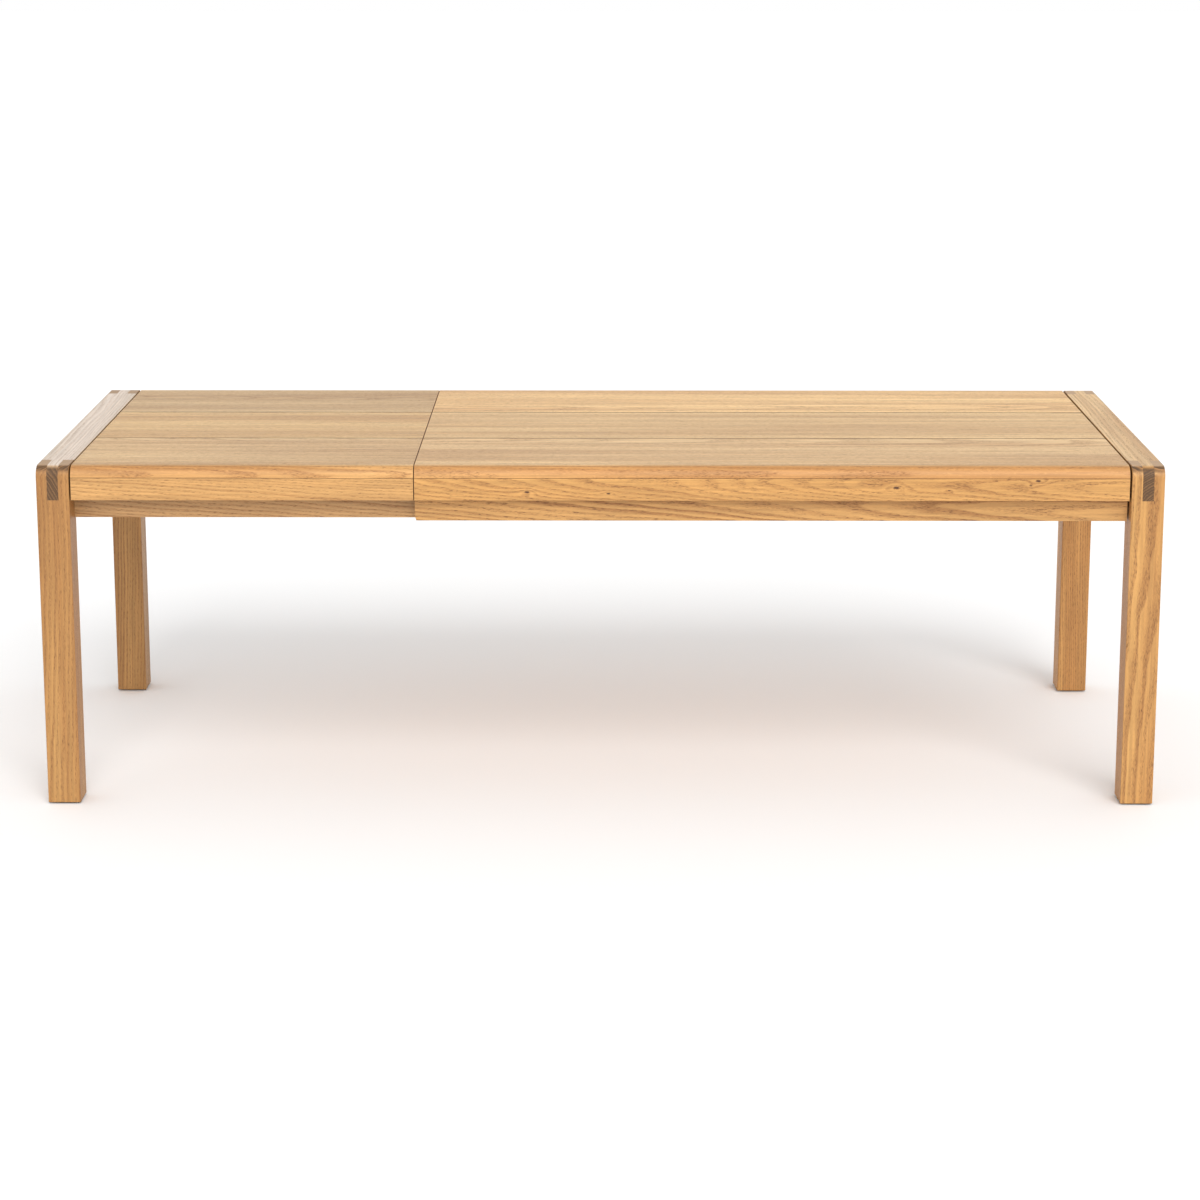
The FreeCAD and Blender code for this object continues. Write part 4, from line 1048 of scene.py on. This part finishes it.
def screw_template(item):
    """A countersunk screw with a drive recess, a plain neck, a thread and a point."""
    settings = ironmongery()
    radius, head = item.shank_radius, item.head_radius
    rim = 0.12 * head
    cone = head - radius
    thread = settings.thread_depth
    root = radius - thread
    point = 2 * radius
    neck = 0.3 * item.length
    turns = int((item.length - rim - cone - neck - point) / settings.thread_pitch)
    profile = [(rim, head), (cone, radius), (neck - rim, radius)]
    for _ in range(turns):
        profile.append((settings.thread_pitch / 2, root))
        profile.append((settings.thread_pitch / 2, radius))
    used = sum(drop for drop, _ in profile)
    profile.append((item.length - used, radius * 0.08))
    piece = turned("screw", head, SCREW_SIDES, profile)
    star_recess(piece, head, settings.recess_depth)
    smooth(piece, 40)
    return piece


def make_screws(node):
    places = [fixing(points) for points in solids_of(node)]
    template = screw_template(places[0])
    screws = copies(template, [placing(item) for item in places], node.replace("screws", "star_screws"))
    discard(template)
    stand_for(screws, node, zinc())


def bolt_template(item):
    """A hexagon bolt: a chamfered head with a washer face, and a threaded shank."""
    settings = ironmongery()
    head_height = settings.bolt_head
    chamfer = head_height * 0.16
    face = head_height * 0.08
    head = turned(
        "bolt_head",
        item.head_radius * 0.90,
        HEXAGON,
        [(chamfer, item.head_radius), (head_height - chamfer - face, item.head_radius)],
    )
    washer_radius = item.head_radius * 0.86
    washer_face = turned("washer_face", washer_radius, ROUND_SIDES, [(face, washer_radius)])
    washer_face.data.transform(Matrix.Translation((0, 0, face - head_height)))
    radius = item.shank_radius
    pitch = settings.thread_pitch / 2
    shank = item.length - head_height
    plain = 0.35 * shank
    profile = [(plain, radius)]
    for _ in range(int((shank - plain) / pitch) - 1):
        profile.append((pitch / 2, radius - settings.thread_depth))
        profile.append((pitch / 2, radius))
    used = sum(drop for drop, _ in profile)
    profile.append((shank - used, radius * 0.8))
    stem = turned("bolt_shank", radius, ROUND_SIDES, profile)
    stem.data.transform(Matrix.Translation((0, 0, -head_height)))
    bolt = joined("bolt", head, washer_face, stem)
    smooth(bolt, 25)
    return bolt


def make_bolts(node):
    places = [fixing(points) for points in solids_of(node)]
    template = bolt_template(places[0])
    bolts = copies(template, [placing(item) for item in places], node.replace("bolts", "hexagon_bolts"))
    discard(template)
    stand_for(bolts, node, zinc())


def eased_copy(node, name, width, material):
    """A CAD node's own shape with its sharp edges broken."""
    mesh = frame["nodes"][node].data.copy()
    piece = bpy.data.objects.new(name, mesh)
    bpy.context.scene.collection.objects.link(piece)
    edit(piece)
    bpy.ops.mesh.select_all(action="SELECT")
    bpy.ops.mesh.customdata_custom_splitnormals_clear()
    bpy.ops.mesh.remove_doubles(threshold=MERGE)
    bpy.ops.mesh.dissolve_limited(angle_limit=math.radians(2))
    object_mode()
    bevelled(piece, width, angle=40)
    smooth(piece)
    stand_for(piece, node, material)
    return piece


def lock_bolt_template(node):
    """A drawn pin with turned ends and a knurled knob under it, at one node's place."""
    low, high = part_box(node)
    radius = (high.x - low.x) / 2
    chamfer = 0.25 * radius
    pin_length = high.y - low.y
    pin = turned(
        "lock_pin",
        radius - chamfer,
        ROUND_SIDES,
        [(chamfer, radius), (pin_length - 2 * chamfer, radius), (chamfer, radius - chamfer)],
    )
    axis_height = high.z - radius
    middle_x = (low.x + high.x) / 2
    pin.data.transform(
        Matrix.Translation((middle_x, low.y, axis_height)) @ Matrix.Rotation(math.pi / 2, 4, "X")
    )
    knob_radius = ironmongery().knob
    knob_top = axis_height - radius * 0.8
    steps = steps_of(KNOB_STEPS, knob_top - low.z, knob_radius)
    knob = turned("lock_knob", steps[0][1], SCREW_SIDES, steps)
    edit(knob, "VERT")

    def in_groove(corner):
        return corner.co.xy.length > knob_radius * 0.98 and side_number(corner) % 2 == 0

    pick(knob, "verts", in_groove)
    bpy.ops.transform.resize(value=(KNURL, KNURL, 1))
    object_mode()
    knob.data.transform(Matrix.Translation((middle_x, knob_place(node), knob_top)))
    bolt = joined("barrel_bolt", pin, knob)
    smooth(bolt, 30)
    return bolt


def middle_of(node):
    low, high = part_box(node)
    return (low + high) / 2


def make_lock_bolts():
    """One lock bolt, and its copy turned half round for the other side."""
    first = "front_lock_bolt"
    template = lock_bolt_template(first)
    for side, angle in (("front", 0), ("back", math.pi)):
        node = side + "_lock_bolt"
        turn = Matrix.Rotation(angle, 4, "Z")
        place = Matrix.Translation(middle_of(node)) @ turn @ Matrix.Translation(-middle_of(first))
        bolt = copies(template, [place], side + "_barrel_bolt")
        stand_for(bolt, node, zinc())
    discard(template)


def knob_place(node):
    """Where a lock bolt's knob stands along Y: the middle of its lowest corners."""
    mesh = frame["nodes"][node].data
    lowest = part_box(node)[0].z
    rows = [corner.co.y for corner in mesh.vertices if corner.co.z < lowest + MILLIMETRE]
    return (min(rows) + max(rows)) / 2


# ---------------------------------------------------------------------------------------------
# Felt and rubber
# ---------------------------------------------------------------------------------------------

# Shares of a felt strip's thickness.
FELT_UNEVEN = 0.03
FELT_EDGE = 0.18


def felt_template(size):
    """A cut strip of felt under z = 0, with soft edges and a slightly uneven surface."""
    uneven = FELT_UNEVEN * size.z
    deselect()
    bpy.ops.mesh.primitive_grid_add(x_subdivisions=30, y_subdivisions=16, size=1)
    strip = bpy.context.object
    edit(strip)
    bpy.ops.mesh.select_all(action="SELECT")
    bpy.ops.transform.resize(value=(size.x - 2 * uneven, size.y - 2 * uneven, 1))
    bpy.ops.transform.translate(value=(0, 0, -uneven))
    bpy.ops.mesh.extrude_region_move(TRANSFORM_OT_translate={"value": (0, 0, 2 * uneven - size.z)})
    bpy.ops.mesh.select_all(action="SELECT")
    bpy.ops.mesh.normals_make_consistent(inside=False)
    object_mode()
    bevelled(strip, size.z * FELT_EDGE, angle=50)
    edit(strip, "VERT")
    bpy.ops.mesh.select_all(action="SELECT")
    bpy.ops.transform.vertex_random(offset=uneven, seed=3)
    object_mode()
    smooth(strip, 60)
    return strip


def buffer_template(radius, depth):
    """A moulded rubber buffer: a foot, two ribs, a domed nose and a hollow for its nail."""
    piece = turned("buffer", radius * 0.42, BUFFER_SIDES, steps_of(BUFFER_STEPS, depth, radius))
    edit(piece)
    pick(piece, "faces", lambda face: at_height(0)(face) and len(face.verts) == BUFFER_SIDES)
    bpy.ops.mesh.extrude_region_move(TRANSFORM_OT_translate={"value": (0, 0, -depth * 0.25)})
    bpy.ops.transform.resize(value=(0.8, 0.8, 1))
    object_mode()
    return piece


# ---------------------------------------------------------------------------------------------
# Stage
# ---------------------------------------------------------------------------------------------


def make_floor():
    """A pale studio floor at the glides' undersides."""
    settings = studio()
    deselect()
    bpy.ops.mesh.primitive_plane_add(size=80, location=(0, 0, CAD_BOX[0].z))
    floor = bpy.context.object
    floor.name = "studio_floor"
    bpy.ops.object.transform_apply(location=True, rotation=True, scale=True)
    material, nodes, shader = new_material("studio_floor")
    cloud = nodes.noise(nodes.coordinates()["Object"], scale=0.4).outputs["Fac"]
    low = Vector(settings.floor) * 0.985
    nodes.join(nodes.mix(cloud, rgba(low), rgba(settings.floor)), shader.inputs["Base Color"])
    shader.inputs["Roughness"].default_value = 0.9
    shader.inputs["Specular IOR Level"].default_value = 0.1
    floor.data.materials.append(material)


def make_world():
    """White walls all round, and a dimmer ceiling."""
    settings = studio()
    world = bpy.data.worlds.new("white_studio")
    bpy.context.scene.world = world
    world.use_nodes = True
    nodes = Nodes(world.node_tree)
    rise = nodes.parts(nodes.coordinates()["Generated"])["Z"]
    light = nodes.span(rise, 0.25, 0.75, settings.walls, settings.ceiling)
    background = world.node_tree.nodes["Background"]
    nodes.join(light, background.inputs["Strength"])
    background.inputs["Color"].default_value = rgba((1, 1, 1))


def make_key_light():
    """A wide soft light above the camera."""
    settings = studio()
    place = Vector((1.5, -6.0, 5.0))
    deselect()
    bpy.ops.object.light_add(type="SUN", location=place)
    lamp = bpy.context.object
    lamp.name = "key_light"
    lamp.rotation_euler = (-place).to_track_quat("-Z", "Y").to_euler()
    lamp.data.energy = settings.key
    lamp.data.angle = settings.key_softness


def make_camera():
    settings = studio()
    deselect()
    bpy.ops.object.camera_add(
        location=settings.camera_place,
        rotation=(math.pi / 2 - settings.camera_tilt, 0, settings.camera_turn),
    )
    camera = bpy.context.object
    camera.name = "table_camera"
    camera.data.sensor_width = 36
    camera.data.lens = settings.lens
    camera.data.shift_y = settings.shift
    camera.data.dof.use_dof = False
    bpy.context.scene.camera = camera


# ---------------------------------------------------------------------------------------------
# Operators
# ---------------------------------------------------------------------------------------------


class TABLE_OT_finish_groups(bpy.types.Operator):
    """Make the shared oak, knot and surface groups"""

    bl_idname = "table.finish_groups"
    bl_label = "Prepare the finishes"

    def execute(self, context):
        make_oak_group()
        make_knot_group()
        make_surface_group()
        return {"FINISHED"}


class TABLE_OT_top_boards(bpy.types.Operator):
    """Finish the boards of the main top and of the leaf"""

    bl_idname = "table.top_boards"
    bl_label = "Top boards"

    def execute(self, context):
        finish_cuts(TOP_CUTS, 1)
        return {"FINISHED"}


class TABLE_OT_fascias(bpy.types.Operator):
    """Finish the strips under the long edges"""

    bl_idname = "table.fascias"
    bl_label = "Fascias"

    def execute(self, context):
        finish_cuts(FASCIA_CUTS, 11)
        return {"FINISHED"}


class TABLE_OT_end_frames(bpy.types.Operator):
    """Finish the legs and top rails of both ends"""

    bl_idname = "table.end_frames"
    bl_label = "End frames"

    def execute(self, context):
        finish_cuts(FRAME_CUTS, 16)
        return {"FINISHED"}


class TABLE_OT_aprons(bpy.types.Operator):
    """Finish the aprons and the runners"""

    bl_idname = "table.aprons"
    bl_label = "Aprons and runners"

    def execute(self, context):
        finish_cuts(APRON_CUTS, 23)
        return {"FINISHED"}


class TABLE_OT_inner_wood(bpy.types.Operator):
    """Finish the tongues, battens, ties, stops and the end rail"""

    bl_idname = "table.inner_wood"
    bl_label = "Inner woodwork"

    def execute(self, context):
        finish_cuts(INNER_CUTS, 28)
        return {"FINISHED"}


class TABLE_OT_pegs_and_dowels(bpy.types.Operator):
    """Finish the leaf's pegs and the end rail's dowels"""

    bl_idname = "table.pegs_and_dowels"
    bl_label = "Pegs and dowels"

    def execute(self, context):
        for node in ("leaf_pegs", "end_rail_dowels"):
            finish_node(node, beech(node))
        return {"FINISHED"}


class TABLE_OT_wood_screws(bpy.types.Operator):
    """Make every wood screw with its recess and thread"""

    bl_idname = "table.wood_screws"
    bl_label = "Wood screws"

    def execute(self, context):
        for node in SCREW_NODES:
            make_screws(node)
        return {"FINISHED"}


class TABLE_OT_frame_bolts(bpy.types.Operator):
    """Make the frame bolts, their washers and the shadow gap's spacers"""

    bl_idname = "table.frame_bolts"
    bl_label = "Frame bolts"

    def execute(self, context):
        edge = ironmongery().edge_break
        for side in ("left", "right"):
            make_bolts(side + "_frame_bolts")
            eased_copy(side + "_frame_washers", side + "_plain_washers", edge, zinc())
        eased_copy("shadow_gap_spacers", "turned_spacers", edge, zinc())
        return {"FINISHED"}


class TABLE_OT_brackets(bpy.types.Operator):
    """Make the corner brackets"""

    bl_idname = "table.brackets"
    bl_label = "Corner brackets"

    def execute(self, context):
        for side in ("front", "back"):
            node = side + "_corner_bracket"
            eased_copy(node, side + "_angle_bracket", ironmongery().edge_break * 1.5, zinc())
        return {"FINISHED"}


class TABLE_OT_locks(bpy.types.Operator):
    """Make the lock bolts and their keepers"""

    bl_idname = "table.locks"
    bl_label = "Locks"

    def execute(self, context):
        for side in ("front", "back"):
            eased_copy(side + "_lock_keeper", side + "_pressed_keeper", ironmongery().edge_break, zinc())
        make_lock_bolts()
        return {"FINISHED"}


class TABLE_OT_felt_pads(bpy.types.Operator):
    """Make the felt strips that the leaf lies on"""

    bl_idname = "table.felt_pads"
    bl_label = "Felt strips"

    def execute(self, context):
        node = "leaf_rest_pads"
        boxes = [span_of(points) for points in solids_of(node)]
        template = felt_template(boxes[0][1] - boxes[0][0])
        places = []
        for low, high in boxes:
            places.append(Matrix.Translation(((low.x + high.x) / 2, (low.y + high.y) / 2, high.z)))
        strips = copies(template, places, "leaf_felt_strips")
        discard(template)
        stand_for(strips, node, felt())
        return {"FINISHED"}


class TABLE_OT_buffers(bpy.types.Operator):
    """Make the rubber buffers"""

    bl_idname = "table.buffers"
    bl_label = "Rubber buffers"

    def execute(self, context):
        node = "closing_buffers"
        boxes = [span_of(points) for points in solids_of(node)]
        size = boxes[0][1] - boxes[0][0]
        template = buffer_template(size.z / 2, size.x)
        turn = Matrix.Rotation(-math.pi / 2, 4, "Y")
        places = []
        for low, high in boxes:
            middle = (low + high) / 2
            places.append(Matrix.Translation((low.x, middle.y, middle.z)) @ turn)
        buffers = copies(template, places, "ribbed_buffers")
        discard(template)
        smooth(buffers, 50)
        stand_for(buffers, node, rubber())
        return {"FINISHED"}


class TABLE_OT_glides(bpy.types.Operator):
    """Finish the glides under the legs"""

    bl_idname = "table.glides"
    bl_label = "Glides"

    def execute(self, context):
        material = plastic()
        for side in ("left", "right"):
            finish_node(side + "_leg_glides", material)
        return {"FINISHED"}


class TABLE_OT_studio(bpy.types.Operator):
    """Set the floor, the light and the camera"""

    bl_idname = "table.studio"
    bl_label = "Studio"

    def execute(self, context):
        make_floor()
        make_world()
        make_key_light()
        make_camera()
        context.scene.view_settings.view_transform = "Standard"
        return {"FINISHED"}


STEPS = (
    TABLE_OT_finish_groups,
    TABLE_OT_top_boards,
    TABLE_OT_fascias,
    TABLE_OT_end_frames,
    TABLE_OT_aprons,
    TABLE_OT_inner_wood,
    TABLE_OT_pegs_and_dowels,
    TABLE_OT_wood_screws,
    TABLE_OT_frame_bolts,
    TABLE_OT_brackets,
    TABLE_OT_locks,
    TABLE_OT_felt_pads,
    TABLE_OT_buffers,
    TABLE_OT_glides,
    TABLE_OT_studio,
)


class TABLE_PT_sidebar(bpy.types.Panel):
    """The steps that dress the table"""

    bl_idname = "TABLE_PT_sidebar"
    bl_label = "Oak Table"
    bl_space_type = "VIEW_3D"
    bl_region_type = "UI"
    bl_category = "Oak Table"

    def draw(self, context):
        for step in STEPS:
            self.layout.operator(step.bl_idname)


SETTINGS = {
    "table_oak": OakSettings,
    "table_ironmongery": IronmongerySettings,
    "table_soft": SoftSettings,
    "table_studio": StudioSettings,
}


def register():
    for kind in (*SETTINGS.values(), *STEPS, TABLE_PT_sidebar):
        bpy.utils.register_class(kind)
    for name, kind in SETTINGS.items():
        setattr(bpy.types.Scene, name, PointerProperty(type=kind))


def unregister():
    for name in SETTINGS:
        delattr(bpy.types.Scene, name)
    for kind in reversed((*SETTINGS.values(), *STEPS, TABLE_PT_sidebar)):
        bpy.utils.unregister_class(kind)


def main():
    register()
    for step in STEPS:
        call = getattr(bpy.ops.table, step.bl_idname.partition(".")[2])
        call()


if __name__ == "__main__":
    main()
